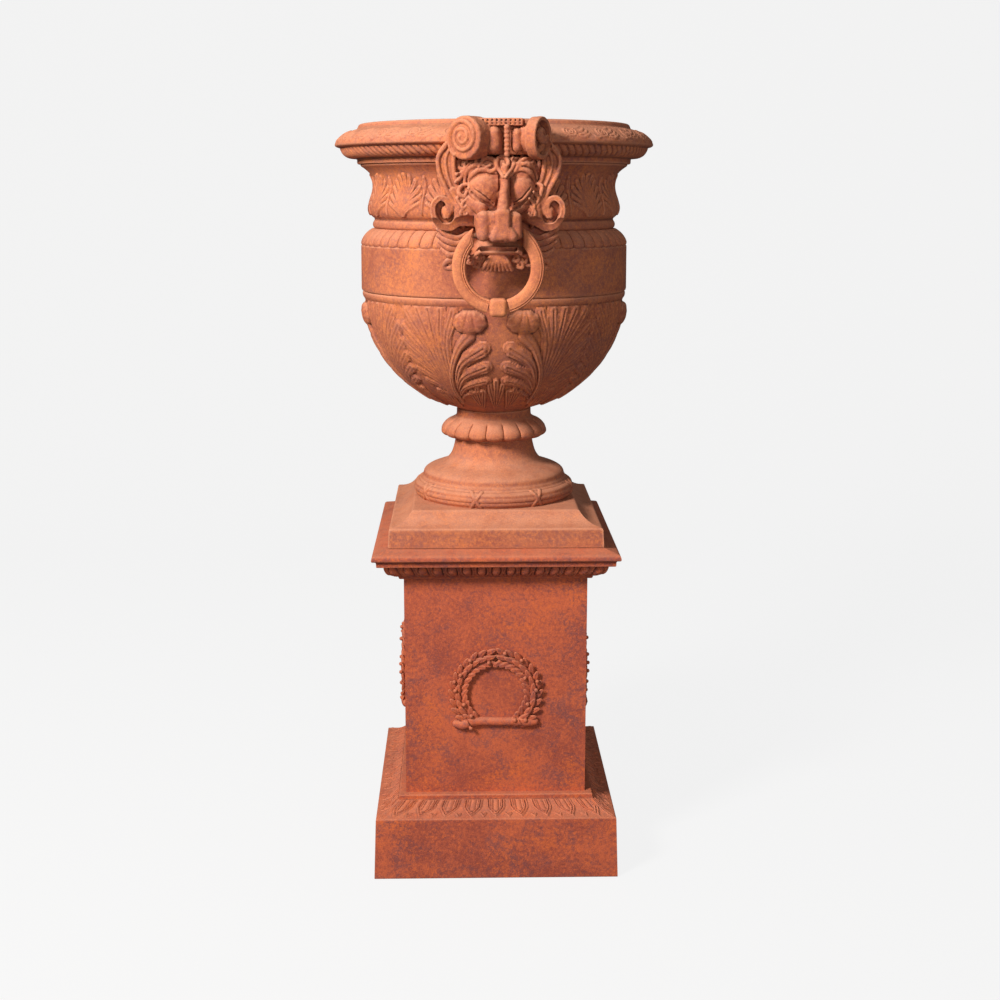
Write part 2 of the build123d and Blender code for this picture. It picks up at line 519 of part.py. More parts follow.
def urn():
    parts["base_block"] = base_block()
    parts["foot_stem"] = foot_stem()
    parts["gadroon_collar"] = collar()
    parts["bowl"] = bowl()
    parts["belt_shoulder"] = belt()
    parts["neck"] = neck()
    parts["rim"] = rim()
    parts["seam_bolts"] = Compound(children=flange_bolts(SEAM_FLANGE_R + 14, SEAM_Z, 8, 22.5))
    parts["shoulder_bolts"] = Compound(children=flange_bolts(SHOULDER_FLANGE_R + 10, SHOULDER_Z, 8, 0))
    parts["rim_bolts"] = Compound(children=flange_bolts(NECK_FLANGE_R + 10, NECK_TOP_Z, 8, 22.5))


def masks_and_rings():
    mask = lion_mask([parts["rim"], parts["neck"], parts["belt_shoulder"]], ring_space())
    arms = [ring_arm(-1), ring_arm(1)]
    pieces = {
        "lion_mask": mask,
        "mask_bolts": Compound(children=front_mask_bolts()),
        "ring_arm_left": arms[0],
        "ring_arm_right": arms[1],
        "ring_knob": ring_knob(arms),
        "ring_pin": ring_pin(),
    }
    for name, piece in pieces.items():
        parts[name + "_front"] = piece
        parts[name + "_back"] = piece.rotate(Axis.Z, 180)


pedestal()
tie()
urn()
masks_and_rings()
for node, shape in parts.items():
    export_step(shape, f"parts/{node}.step")
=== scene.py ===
import math
import json
import bpy
import numpy as np
import openvdb
from mathutils import Matrix, Vector


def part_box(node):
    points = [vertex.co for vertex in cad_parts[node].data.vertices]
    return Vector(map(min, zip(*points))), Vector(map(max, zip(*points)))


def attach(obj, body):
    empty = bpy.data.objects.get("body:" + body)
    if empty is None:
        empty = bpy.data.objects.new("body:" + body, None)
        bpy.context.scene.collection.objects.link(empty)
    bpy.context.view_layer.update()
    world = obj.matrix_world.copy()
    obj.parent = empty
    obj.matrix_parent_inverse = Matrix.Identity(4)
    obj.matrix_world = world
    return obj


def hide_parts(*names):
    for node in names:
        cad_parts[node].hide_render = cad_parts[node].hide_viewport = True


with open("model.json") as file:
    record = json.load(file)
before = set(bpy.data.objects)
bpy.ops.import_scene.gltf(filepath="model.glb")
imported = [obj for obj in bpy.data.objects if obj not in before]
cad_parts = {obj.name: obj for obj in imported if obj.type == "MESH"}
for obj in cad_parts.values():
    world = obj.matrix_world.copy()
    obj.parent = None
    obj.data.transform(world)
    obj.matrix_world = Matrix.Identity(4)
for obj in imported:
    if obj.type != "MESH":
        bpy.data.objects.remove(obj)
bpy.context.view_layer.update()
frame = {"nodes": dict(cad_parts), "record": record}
print("frame loaded:", len(frame["nodes"]), "castings and fittings")

mm = 0.001
fixedBody = "urn_and_pedestal"


def heights(node):
    low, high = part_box(node)
    return low.z / mm, high.z / mm


def standing(node):
    # how high a casting's foot is, and how tall the casting is
    low, top = heights(node)
    return low, top - low


# meshes from grids of points
def meshFromFaces(name, points, faces, sharpAngle=38):
    mesh = bpy.data.meshes.new(name)
    sides = faces.shape[1]
    mesh.vertices.add(len(points))
    mesh.vertices.foreach_set("co", np.ascontiguousarray(points, np.float32).ravel())
    mesh.loops.add(faces.size)
    mesh.loops.foreach_set("vertex_index", np.ascontiguousarray(faces, np.int32).ravel())
    mesh.polygons.add(len(faces))
    mesh.polygons.foreach_set("loop_start", np.arange(0, faces.size, sides, dtype=np.int32))
    mesh.update(calc_edges=True)
    mesh.validate()
    mesh.polygons.foreach_set("use_smooth", np.ones(len(mesh.polygons), bool))
    mesh.set_sharp_from_angle(angle=math.radians(sharpAngle))
    piece = bpy.data.objects.new(name, mesh)
    bpy.context.scene.collection.objects.link(piece)
    return piece


def gridFaces(rows, columns, closeRows=True, closeColumns=True):
    r = np.arange(rows if closeRows else rows - 1)[:, None]
    c = np.arange(columns if closeColumns else columns - 1)[None, :]
    rNext, cNext = (r + 1) % rows, (c + 1) % columns
    corners = [r * columns + c, r * columns + cNext, rNext * columns + cNext, rNext * columns + c]
    return np.stack([np.broadcast_to(k, (r.size, c.size)).ravel() for k in corners], 1)


def smoothLine(points, step):
    # an evenly stepped curve through a few points, straight where there are only two
    p = np.array(points, float)
    if len(p) == 2:
        length = np.linalg.norm(p[1] - p[0])
        stops = np.linspace(0, 1, max(1, int(round(length / step))) + 1)
        if length > 60 and step < 5:
            ends = np.arange(4) * step / length
            middle = np.linspace(ends[-1], 1 - ends[-1], int(length / 9))[1:-1]
            stops = np.concatenate([ends, middle, 1 - ends[::-1]])
        return p[0] + (p[1] - p[0]) * stops[:, None]
    ends = np.vstack([2 * p[0] - p[1], p, 2 * p[-1] - p[-2]])
    found = []
    for a, b, c, d in zip(ends, ends[1:], ends[2:], ends[3:]):
        count = max(1, int(round(np.linalg.norm(c - b) / step)))
        t = np.linspace(0, 1, count, endpoint=False)[:, None]
        cubic = 2 * b + (c - a) * t + (2 * a - 5 * b + 4 * c - d) * t**2 + (3 * b - a - 3 * c + d) * t**3
        found.append(0.5 * cubic)
    return np.vstack(found + [p[-1:]])


def castOutline(outer, inner, low, step):
    # outer runs go on from each other's ends, finely stepped and lightly rounded; inner points stay coarse
    line = smoothLine(outer[0], step)
    last = outer[0][-1]
    for run in outer[1:]:
        line = np.vstack([line, smoothLine([last] + run, step)[1:]])
        last = run[-1]
    for _ in range(2):
        line[1:-1] = 0.25 * line[:-2] + 0.5 * line[1:-1] + 0.25 * line[2:]
    return np.vstack([line, np.array(inner, float)]) + (0, low), len(line)


def sweepCasting(name, low, outer, inner, cast, relief=None, plan="round"):
    # runs an outline round the Z axis on a round or a square plan, and lays the relief on its outer side
    columns = cast["columns"]
    loop, outerCount = castOutline(outer, inner, low, cast["step"])
    before, after = np.roll(loop, 1, 0), np.roll(loop, -1, 0)
    along = after - before
    along /= np.linalg.norm(along, axis=1)[:, None] + 1e-9
    normal = np.stack([along[:, 1], -along[:, 0]], 1)
    turn = np.arange(columns) / columns
    if plan == "round":
        angle = turn * 2 * math.pi
        across, dirX, dirY = angle, np.sin(angle), -np.cos(angle)
    else:
        side = np.floor(turn * 4).astype(int)
        across = (turn * 4 - side) * 2 - 1
        sideAngle = side * math.pi / 2
        dirX = across * np.cos(sideAngle) + np.sin(sideAngle)
        dirY = across * np.sin(sideAngle) - np.cos(sideAngle)
    lift = np.zeros((len(loop), columns))
    if relief is not None:
        run = loop[:outerCount]
        travel = np.concatenate([[0], np.cumsum(np.linalg.norm(np.diff(run, axis=0), axis=1))])
        lift[:outerCount] = relief(across[None, :], run[:, :1], run[:, 1:], travel[:, None])
    radius = loop[:, :1] + lift * normal[:, :1]
    z = loop[:, 1:] + lift * normal[:, 1:]
    points = np.stack([dirX * radius, dirY * radius, z + 0 * radius], -1).reshape(-1, 3) * mm
    return meshFromFaces(name, points, gridFaces(len(loop), columns))


def drill(piece, holes, bottom, top):
    # bores upright holes, each given by its distance from the axis, its bearing and its radius
    rounds = np.arange(32) / 32 * 2 * math.pi
    for reach, bearing, size in holes:
        x, y = reach * math.cos(math.radians(bearing)), reach * math.sin(math.radians(bearing))
        loop = np.array([(0.01, bottom), (size, bottom), (size, top), (0.01, top)])
        points = [(x + r * math.cos(a), y + r * math.sin(a), z) for r, z in loop for a in rounds]
        cutter = meshFromFaces("cutter", np.array(points) * mm, gridFaces(4, 32))
        bore = piece.modifiers.new("bore", "BOOLEAN")
        bore.operation = "DIFFERENCE"
        bore.solver = "EXACT"
        bore.object = cutter
        bpy.context.view_layer.update()
        shaped = piece.evaluated_get(bpy.context.evaluated_depsgraph_get())
        mesh = bpy.data.meshes.new_from_object(shaped)
        piece.modifiers.clear()
        piece.data = mesh
        bpy.data.objects.remove(cutter)


# carved relief, as heights over a surface
def strokeHeight(u, v, path, widths, height, vein=0.0):
    # a domed stroke along a path; widths are half widths at even steps along it
    line = smoothLine(path, 4.0) if len(path) > 2 else np.array(path, float)
    count = len(line) - 1
    half = np.interp(np.linspace(0, 1, count + 1), np.linspace(0, 1, len(widths)), widths)
    nearest = np.full(np.broadcast(u, v).shape, 9.0)
    for k in range(count):
        du, dv = line[k + 1] - line[k]
        t = np.clip(((u - line[k, 0]) * du + (v - line[k, 1]) * dv) / (du * du + dv * dv + 1e-9), 0, 1)
        away = np.hypot(u - line[k, 0] - t * du, v - line[k, 1] - t * dv)
        nearest = np.minimum(nearest, away / (half[k] + (half[k + 1] - half[k]) * t))
    dome = np.sqrt(np.clip(1 - nearest**2, 0, 1))
    return height * (dome - vein * np.exp(-(nearest / 0.2) ** 2))


def smoothStep(low, high, value):
    t = np.clip((value - low) / (high - low), 0, 1)
    return t * t * (3 - 2 * t)


def folded(angle, count, start=0.0):
    # angle within the nearest of evenly spaced units, from minus to plus half a unit
    unit = 2 * math.pi / count
    return (angle - start + unit / 2) % unit - unit / 2


# node helpers for the rust finishes
def newGroup(name, inputs, outputs):
    group = bpy.data.node_groups.new(name, "ShaderNodeTree")
    for label, kind, value in inputs:
        socket = group.interface.new_socket(label, in_out="INPUT", socket_type=kind)
        socket.default_value = value
    for label, kind in outputs:
        group.interface.new_socket(label, in_out="OUTPUT", socket_type=kind)
    return group, group.nodes.new("NodeGroupInput"), group.nodes.new("NodeGroupOutput")


def noiseNode(tree, coords, scale, detail=6.0, rough=0.6, distortion=0.0):
    node = tree.nodes.new("ShaderNodeTexNoise")
    node.inputs["Detail"].default_value = detail
    node.inputs["Roughness"].default_value = rough
    node.inputs["Distortion"].default_value = distortion
    if isinstance(scale, (int, float)):
        node.inputs["Scale"].default_value = scale
    else:
        tree.links.new(scale, node.inputs["Scale"])
    tree.links.new(coords, node.inputs["Vector"])
    return node.outputs["Fac"]


def rangeNode(tree, value, low, high, outLow=0.0, outHigh=1.0):
    node = tree.nodes.new("ShaderNodeMapRange")
    node.interpolation_type = "SMOOTHSTEP"
    for label, number in (("From Min", low), ("From Max", high), ("To Min", outLow), ("To Max", outHigh)):
        node.inputs[label].default_value = number
    tree.links.new(value, node.inputs["Value"])
    return node.outputs["Result"]


def mathNode(tree, operation, a, b):
    node = tree.nodes.new("ShaderNodeMath")
    node.operation = operation
    for socket, value in zip(node.inputs, (a, b)):
        if isinstance(value, (int, float)):
            socket.default_value = value
        else:
            tree.links.new(value, socket)
    return node.outputs["Value"]


def mixColour(tree, amount, a, b, mode="MIX"):
    node = tree.nodes.new("ShaderNodeMix")
    node.data_type = "RGBA"
    node.blend_type = mode
    for index, value in ((0, amount), (6, a), (7, b)):
        socket = node.inputs[index]
        if isinstance(value, (int, float)):
            socket.default_value = value
        elif isinstance(value, (tuple, list)):
            socket.default_value = (*value, 1.0)
        else:
            tree.links.new(value, socket)
    return node.outputs[2]


def rustGroup():
    # layered rust: broad patches, mauve scale, bright bloom, fine grain and dust on tops, with a painted
    # highlight on ridges and painted shade in hollows
    colourKind, numberKind = "NodeSocketColor", "NodeSocketFloat"
    group, entry, finish = newGroup(
        "rust layers",
        [
            ("Warm", colourKind, (0.5, 0.15, 0.06, 1)), ("Deep", colourKind, (0.2, 0.05, 0.03, 1)),
            ("Bright", colourKind, (0.75, 0.2, 0.03, 1)), ("Mauve", colourKind, (0.2, 0.08, 0.08, 1)),
            ("Dust", colourKind, (0.6, 0.28, 0.16, 1)), ("Patch Scale", numberKind, 5.0),
            ("Mauve Amount", numberKind, 0.5), ("Bright Amount", numberKind, 0.4),
            ("Dust Amount", numberKind, 0.6), ("Relief Shade", numberKind, 1.0),
        ],
        [("Color", colourKind), ("Roughness", numberKind), ("Height", numberKind)])
    given, made = entry.outputs, finish.inputs

    def plus(a, b):
        return mathNode(group, "ADD", a, b)

    def times(a, b):
        return mathNode(group, "MULTIPLY", a, b)

    coords = group.nodes.new("ShaderNodeTexCoord").outputs["Object"]
    geometry = group.nodes.new("ShaderNodeNewGeometry").outputs
    fine = mathNode(group, "SUBTRACT", noiseNode(group, coords, 130.0, 5, 0.8), 0.5)
    patches = plus(noiseNode(group, coords, given["Patch Scale"], 9, 0.68, 0.6), times(fine, 0.9))
    colour = mixColour(group, rangeNode(group, patches, 0.3, 0.68), given["Deep"], given["Warm"])
    blotches = plus(noiseNode(group, coords, 13.0, 10, 0.72, 1.1), times(fine, -0.7))
    mauve = times(rangeNode(group, blotches, 0.46, 0.7), given["Mauve Amount"])
    colour = mixColour(group, mauve, colour, given["Mauve"])
    blooms = plus(noiseNode(group, coords, 8.0, 11, 0.74, 0.8), times(fine, 0.8))
    bloom = times(rangeNode(group, blooms, 0.5, 0.74), given["Bright Amount"])
    colour = mixColour(group, bloom, colour, given["Bright"])
    # dust that has settled on upward faces, then ridges lightened as edge wear and as a painted highlight,
    # and painted shade in hollows
    upward = group.nodes.new("ShaderNodeSeparateXYZ")
    group.links.new(geometry["Normal"], upward.inputs["Vector"])
    settled = times(rangeNode(group, upward.outputs["Z"], 0.1, 0.85), given["Dust Amount"])
    drift = rangeNode(group, noiseNode(group, coords, 30.0, 8), 0.3, 0.6, 0.55, 1.0)
    colour = mixColour(group, times(settled, drift), colour, given["Dust"])
    # ridges lightened towards the dust colour: partly edge wear, partly a painted highlight
    ridgeWearAndHighlight = rangeNode(group, geometry["Pointiness"], 0.505, 0.56)
    # painted shade: hollows are darkened towards near black, standing in for the shade that falls in them
    hollowPaintedShade = rangeNode(group, geometry["Pointiness"], 0.497, 0.44)
    ridgeWearAndHighlight = times(ridgeWearAndHighlight, times(given["Relief Shade"], 0.55))
    hollowPaintedShade = times(hollowPaintedShade, times(given["Relief Shade"], 0.75))
    colour = mixColour(group, ridgeWearAndHighlight, colour, given["Dust"])
    colour = mixColour(group, hollowPaintedShade, colour, (0.035, 0.012, 0.01))
    # fine grain and specks over it all
    grain = noiseNode(group, coords, 620.0, 3, 0.7)
    speck = noiseNode(group, coords, 260.0, 4, 0.8)
    darker = mixColour(group, 1.0, colour, (0.5, 0.48, 0.48), "MULTIPLY")
    colour = mixColour(group, rangeNode(group, grain, 0.35, 0.7, 0.0, 0.55), colour, darker)
    brighter = mixColour(group, 0.55, colour, given["Bright"])
    colour = mixColour(group, rangeNode(group, speck, 0.56, 0.7, 0.0, 0.6), colour, brighter)
    group.links.new(colour, made["Color"])
    group.links.new(plus(rangeNode(group, speck, 0.3, 0.7, 0.0, 0.16), 0.74), made["Roughness"])
    pits = rangeNode(group, noiseNode(group, coords, 90.0, 6, 0.65), 0.35, 0.5)
    height = plus(plus(times(pits, 0.35), times(speck, 0.45)), times(grain, 0.3))
    group.links.new(height, made["Height"])
    return group


rustLayers = rustGroup()


def rustedIron(name, values, shade=1.0, bump=0.5):
    material = bpy.data.materials.new(name)
    material.use_nodes = True
    tree = material.node_tree
    shader = tree.nodes["Principled BSDF"]
    layers = tree.nodes.new("ShaderNodeGroup")
    layers.node_tree = rustLayers
    for label, value in values.items():
        layers.inputs[label].default_value = (*value, 1.0) if isinstance(value, tuple) else value
    layers.inputs["Relief Shade"].default_value = shade
    relief = tree.nodes.new("ShaderNodeBump")
    relief.inputs["Strength"].default_value = bump
    relief.inputs["Distance"].default_value = 0.0012
    tree.links.new(layers.outputs["Color"], shader.inputs["Base Color"])
    tree.links.new(layers.outputs["Roughness"], shader.inputs["Roughness"])
    tree.links.new(layers.outputs["Height"], relief.inputs["Height"])
    tree.links.new(relief.outputs["Normal"], shader.inputs["Normal"])
    shader.inputs["Specular IOR Level"].default_value = 0.28
    return material


urnRust = {
    "Warm": (0.54, 0.17, 0.075), "Deep": (0.34, 0.09, 0.05), "Bright": (0.75, 0.22, 0.05),
    "Mauve": (0.25, 0.1, 0.09), "Dust": (0.66, 0.29, 0.17),
    "Patch Scale": 4.0, "Mauve Amount": 0.45, "Bright Amount": 0.4, "Dust Amount": 0.65,
}
pedestalRust = {
    "Warm": (0.56, 0.12, 0.05), "Deep": (0.31, 0.065, 0.04), "Bright": (0.78, 0.165, 0.025),
    "Mauve": (0.17, 0.065, 0.07), "Dust": (0.55, 0.2, 0.11),
    "Patch Scale": 6.0, "Mauve Amount": 0.6, "Bright Amount": 0.4, "Dust Amount": 0.6,
}
ringRust = {
    "Warm": (0.66, 0.225, 0.095), "Deep": (0.48, 0.14, 0.065), "Bright": (0.76, 0.25, 0.08),
    "Mauve": (0.35, 0.14, 0.1), "Dust": (0.7, 0.29, 0.16),
    "Patch Scale": 12.0, "Mauve Amount": 0.2, "Bright Amount": 0.4, "Dust Amount": 0.4,
}
steelRust = {
    "Warm": (0.22, 0.08, 0.045), "Deep": (0.09, 0.045, 0.035), "Bright": (0.45, 0.14, 0.04),
    "Mauve": (0.09, 0.06, 0.06), "Dust": (0.32, 0.17, 0.11),
    "Patch Scale": 22.0, "Mauve Amount": 0.6, "Bright Amount": 0.45, "Dust Amount": 0.35,
}
urnIron = rustedIron("rustedUrnIron", urnRust)
pedestalIron = rustedIron("rustedPedestalIron", pedestalRust)
panelIron = rustedIron("rustedPanelIron", pedestalRust, shade=0.0, bump=0.6)
ringIron = rustedIron("rubbedRingIron", ringRust, shade=0.6, bump=0.3)
frameSteel = rustedIron("rustedFrameSteel", steelRust, shade=0.0, bump=0.4)
boltSteel = rustedIron("rustedBoltSteel", {**steelRust, "Patch Scale": 60.0}, shade=0.0, bump=0.35)
slotIron = {
    "urn_iron": urnIron, "pedestal_iron": panelIron, "ring_iron": ringIron,
    "frame_steel": frameSteel, "fastener_steel": boltSteel,
}
for part in frame["record"]["subparts"]:
    slots = frame["nodes"][part["node"]].data.materials
    slots.clear()
    slots.append(slotIron[part["material_slot"]])
print("finishes made")


def settle(piece, material, slot, *nodes, body=fixedBody):
    piece.data.materials.append(material)
    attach(piece, body)
    if nodes:
        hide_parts(*nodes)
    print("  made", piece.name, len(piece.data.polygons), "faces")
    return piece


# pedestal castings
plinthCast = {"leafUnits": 9, "leafProud": 2.6, "columns": 1520, "step": 1.7}  # leaves on each side, mm


def plinthRelief(across, radius, z, travel):
    # double-outlined water leaves with reeds inside, and small V darts between their points
    low, top = heights("plinth_casting")
    climb = (z - low - 134) / (top - low - 145) * 46
    unit = 2.0 / plinthCast["leafUnits"]
    within = np.abs((across + unit / 2) % unit - unit / 2) * 232
    between = np.abs(across % unit - unit / 2) * 232
    side = np.interp(climb, (2, 8, 16, 24, 46), (0, 7.5, 15.5, 20, 21))
    inward = side - within

    def line(at, wide):
        return np.exp(-(((inward - at) / wide) ** 2))
    lift = 1.0 * line(1.6, 1.5) + 0.95 * line(7.2, 1.5) - 0.35 * line(4.4, 1.0)
    reeds = np.abs(np.cos(within / 6.2 * math.pi / 2)) ** 0.7
    lift = lift + 0.9 * reeds * smoothStep(9.0, 10.5, inward) * smoothStep(12, 16, climb)
    dart = np.exp(-((climb - 2.5 - between * 0.9) / 1.4) ** 2) * (between < 6.5)
    lift = np.maximum(lift, dart) * plinthCast["leafProud"]
    corner = smoothStep(0.955, 0.975, np.abs(across))
    lift = lift * (1 - corner) + corner * 1.6 * np.exp(-((np.abs(across) - 0.985) * 232 / 2.0) ** 2)
    return lift * smoothStep(-0.5, 1.5, climb) * smoothStep(47.0, 45.5, climb)


def makePlinth():
    low, tall = standing("plinth_casting")
    outer = [
        [(252, 0), (259, 0)], [(254.5, 133)],
        [(241, 136.5), (227, 142.5), (214.5, 151.5), (208.5, 156.5)], [(207.5, 158), (207.5, tall - 1)],
        [(206.5, tall), (190, tall)],
    ]
    inner = [(150, tall), (150, tall - 12), (197.5, tall - 12), (244.5, 123), (249, 0)]
    piece = sweepCasting("plinth", low, outer, inner, plinthCast, plinthRelief, "square")
    settle(piece, pedestalIron, "pedestal_iron", "plinth_casting")


capCast = {"eggs": 15, "eggProud": 6.5, "columns": 1440, "step": 2.2}  # eggs on each side, mm


def capRelief(across, radius, z, travel):
    # eggs with their shells and the darts between them, under the slab
    low = heights("cap_casting")[0]
    unit = 2.0 / capCast["eggs"]
    within = ((across + unit / 2) % unit - unit / 2) * 218
    between = (across % unit - unit / 2) * 218
    down = (low + 24) - z
    egg = capCast["eggProud"] * np.sqrt(np.clip(1 - (within / 8.5) ** 2 - (down / 14.5) ** 2, 0, 1))
    reach = np.sqrt((within / 12.5) ** 2 + (down / 19) ** 2)
    shell = 4.0 * np.exp(-((reach - 1) / 0.13) ** 2)
    dart = 4.5 * np.exp(-(between / 1.6) ** 2) * smoothStep(-13, -4, -down + 2)
    dart = dart * smoothStep(low + 37, low + 33, z)
    region = smoothStep(low + 7, low + 11, z) * smoothStep(low + 37.5, low + 36, z) * (radius < 240)
    return (np.maximum(egg, np.maximum(shell, dart)) - 2.5) * region


def makeCap():
    low, tall = standing("cap_casting")
    outer = [
        [(194, 0), (199, 0)], [(202, 2), (202, 7)], [(215, 12), (226, 22), (231, 36)], [(246, 37)],
        [(246, 49)], [(255.5, 51)], [(255.5, 57), (253, 62.5), (246.5, 65)], [(224.5, tall)],
        [(200, tall)],
    ]
    inner = [(9, tall), (9, tall - 12), (221, tall - 12), (221, 37), (182, 7), (182, 0)]
    piece = sweepCasting("cap", low, outer, inner, capCast, capRelief, "square")
    settle(piece, pedestalIron, "pedestal_iron", "cap_casting")


blockCast = {"columns": 560, "step": 3.0}


def makeBaseBlock():
    low, tall = standing("base_block")
    outer = [
        [(217, 0), (223, 0)], [(220.5, 41)], [(206, 44), (191, 51), (180, 61), (173.5, tall - 0.5)],
        [(150, tall)],
    ]
    inner = [(9, tall), (9, tall - 16), (163.5, tall - 16), (210.5, 31), (213, 0)]
    piece = sweepCasting("baseBlock", low, outer, inner, blockCast, None, "square")
    settle(piece, urnIron, "urn_iron", "base_block")


# urn castings
footCast = {"reeds": 3, "reedDeep": 2.2, "ribbons": 8, "ribbonStart": -14, "columns": 960, "step": 2.0}


def footRelief(angle, radius, z, travel):
    # a reeded torus bound with crossed ribbons
    low = heights("foot_stem")[0]
    climb = (z - low - 1) / 33
    reeds = np.abs(np.sin(np.clip(climb, 0, 1) * math.pi * footCast["reeds"]))
    onTorus = smoothStep(-0.02, 0.04, climb) * smoothStep(1.04, 0.98, climb) * (radius > 140)
    groove = -footCast["reedDeep"] * (1 - np.sqrt(reeds)) * onTorus
    near = folded(angle, footCast["ribbons"], math.radians(footCast["ribbonStart"])) * 172
    lean = (climb - 0.5) * 22
    ribbon = np.maximum(strokeBand(near - lean, 4.2), strokeBand(near + lean, 4.2))
    return np.where(ribbon * onTorus > 0.02, 1.6 * ribbon, groove)


def strokeBand(offset, half):
    return np.sqrt(np.clip(1 - (offset / half) ** 2, 0, 1))


def makeFoot():
    low, tall = standing("foot_stem")
    outer = [
        [(160, 0), (168, 0)], [(173, 8), (174.5, 18), (171, 28), (162, 35)], [(158.5, 36), (158, 40)],
        [(155.5, 42), (154.5, 44)], [(152, 53), (143, 60), (128, 66), (113, 71), (101, 78)],
        [(93.5, 88), (88.5, 100), (85, 114), (83, tall)], [(70, tall)],
    ]
    inner = [
        (9, tall), (9, tall - 9), (77, tall - 9), (77, 101), (90, 72), (113, 58), (146.5, 45),
        (146.5, 0),
    ]
    piece = sweepCasting("footStem", low, outer, inner, footCast, footRelief)
    settle(piece, urnIron, "urn_iron", "foot_stem")


collarCast = {"petals": 18, "petalProud": 6.0, "columns": 900, "step": 1.8}


def collarRelief(angle, radius, z, travel):
    # rounded petals that hang a little past the collar's lower edge
    low = heights("gadroon_collar")[0]
    within = folded(angle, collarCast["petals"]) / (math.pi / collarCast["petals"])
    petal = np.sqrt(np.clip(1 - within**2, 0, 1))
    body = smoothStep(low + 47, low + 34, z) * smoothStep(86, 98, radius)
    return (petal - 0.72) * collarCast["petalProud"] * body


def makeCollar():
    low, tall = standing("gadroon_collar")
    outer = [
        [(80, 0), (86, 1)], [(99, 3.5), (109, 7), (114, 12.5)],
        [(112.5, 20), (106, 29), (96, 37), (86, 43)], [(82, 46), (80.5, 52), (80.5, tall)],
        [(76, tall)],
    ]
    inner = [(71.5, tall), (71.5, 9), (9, 9), (9, 0)]
    piece = sweepCasting("gadroonCollar", low, outer, inner, collarCast, collarRelief)
    settle(piece, urnIron, "urn_iron", "gadroon_collar")


bowlCast = {
    "radius": 275, "depth": 251, "leafPairs": 4, "leafProud": 5.5, "curlProud": 13,
    "drains": [(50, 30, 6), (50, 150, 6), (50, 270, 6)],  # distance from the axis, bearing, radius
    "columns": 1180, "step": 2.7,
}
bowlRib = [(26, 222), (24.8, 181), (22, 143), (17, 100), (12, 74)]  # degrees from the gap, depth below brim
bowlInnerLobes = [(6.0, 98, 14), (5.2, 137, 13), (5.6, 168, 11), (9.0, 192, 7)]  # the third is the half width
bowlOuterLobes = [
    (18.5, 25, 11), (24, 23, 12.5), (29.5, 22, 12.5), (35, 23, 12.5), (40.5, 26, 12.5), (43.6, 58, 11),
    (43.8, 88, 10.5), (43.4, 117, 10), (42.5, 145, 9), (40.5, 171, 8), (37, 194, 7),
]


def bowlRelief(angle, radius, z, travel):
    # pairs of acanthus leaves that turn their backs to a plain gap, each with a curled shell at its tip
    low, top = heights("bowl")
    below = top - z[:, 0]

    def place(degrees, depth):
        girth = np.interp(-depth, -below, radius[:, 0])
        return math.radians(degrees) * girth, np.interp(-depth, -below, travel[:, 0])

    near = np.abs(folded(angle, bowlCast["leafPairs"]))
    u, v = near * radius, travel + 0 * near
    proud = bowlCast["leafProud"]
    lift = np.zeros(u.shape)

    def leafLobe(start, tip, side, half, tall):
        nonlocal lift
        base, end = place(*start), place(*tip)
        middle = place(start[0] + (tip[0] - start[0]) * 0.38, start[1] + (tip[1] - start[1]) * 0.6)
        sheet = strokeHeight(u, v, [base, middle, end], (4.0, half * 0.9, half * 1.15, half * 1.1), 1.0)
        lift = np.maximum(lift, np.minimum(sheet * 2.6, 1.0) * tall * 0.45)
        widths = (2.5, half * 0.55, half * 0.85, half * 0.8)
        body = strokeHeight(u, v, [base, middle, end], widths, tall, 0.42)
        lift = np.maximum(lift, body)
        for fork in (-1, 1):
            bud = (middle[0] + (end[0] - middle[0]) * 0.78 + fork * half * 0.8,
                   middle[1] + (end[1] - middle[1]) * 0.78 + side * fork * half * 0.25)
            lift = np.maximum(lift, strokeHeight(u, v, [middle, bud], (2.0, half * 0.55), tall * 0.86, 0.4))

    for lobe in bowlOuterLobes[::-1]:
        leafLobe((25.6, 214), lobe[:2], -1, lobe[2], proud * 0.85)
    for k, lobe in enumerate(bowlInnerLobes[::-1]):
        leafLobe((25.6 - k * 0.4, 216 - k * 9), lobe[:2], 1, lobe[2], proud * (0.95 + 0.06 * k))
    rib = [place(*spot) for spot in bowlRib]
    lift = np.maximum(lift, strokeHeight(u, v, rib, (4.5, 5.5, 6.0, 8.0, 14.0), proud * 1.25, 0.25))
    hem = [place(degrees - 1.6, depth + 3) for degrees, depth in bowlRib]
    lift = lift - 2.0 * strokeHeight(u, v, hem[:4], (1.6, 1.9, 2.2, 2.0), 1.0)
    shellU, shellV = place(11.2, 46)
    x, y = (u - shellU) / 34.0, (v - shellV) / 24.5
    fanned = np.arctan2(x * 1.25, 1.5 - y)
    flutes = 0.8 + 0.2 * np.abs(np.cos(fanned * 7.5)) ** 0.6
    edge = 1 + 0.05 * np.cos(np.arctan2(x, -y) * 9)
    shell = np.sqrt(np.clip(edge - x**2 - y**2, 0, 1)) ** 0.8 * bowlCast["curlProud"] * flutes
    lift = np.maximum(lift, shell)
    for count, shift, tip, half in ((16, 0.0, 168, 8.5), (16, 1.0, 184, 8.0)):
        around = folded(angle, count, math.pi / count * shift) * radius
        foot = place(0, 238)[1]
        for spread in (-1, 0, 1):
            reach = place(0, tip + 9 * abs(spread))[1]
            path = [(0, foot), (spread * 6, (foot + reach) / 2), (spread * 13, reach)]
            small = strokeHeight(around, v, path, (3, 5, half * 0.8, half * 0.75), 4.6, 0.4)
            keep = smoothStep(246, 236, top - z)
            if tip <= 180:
                keep = keep * smoothStep(10.5, 9.5, np.degrees(near))
            lift = np.maximum(lift, small * keep)
    return lift * smoothStep(top - 15.5, top - 18, z)


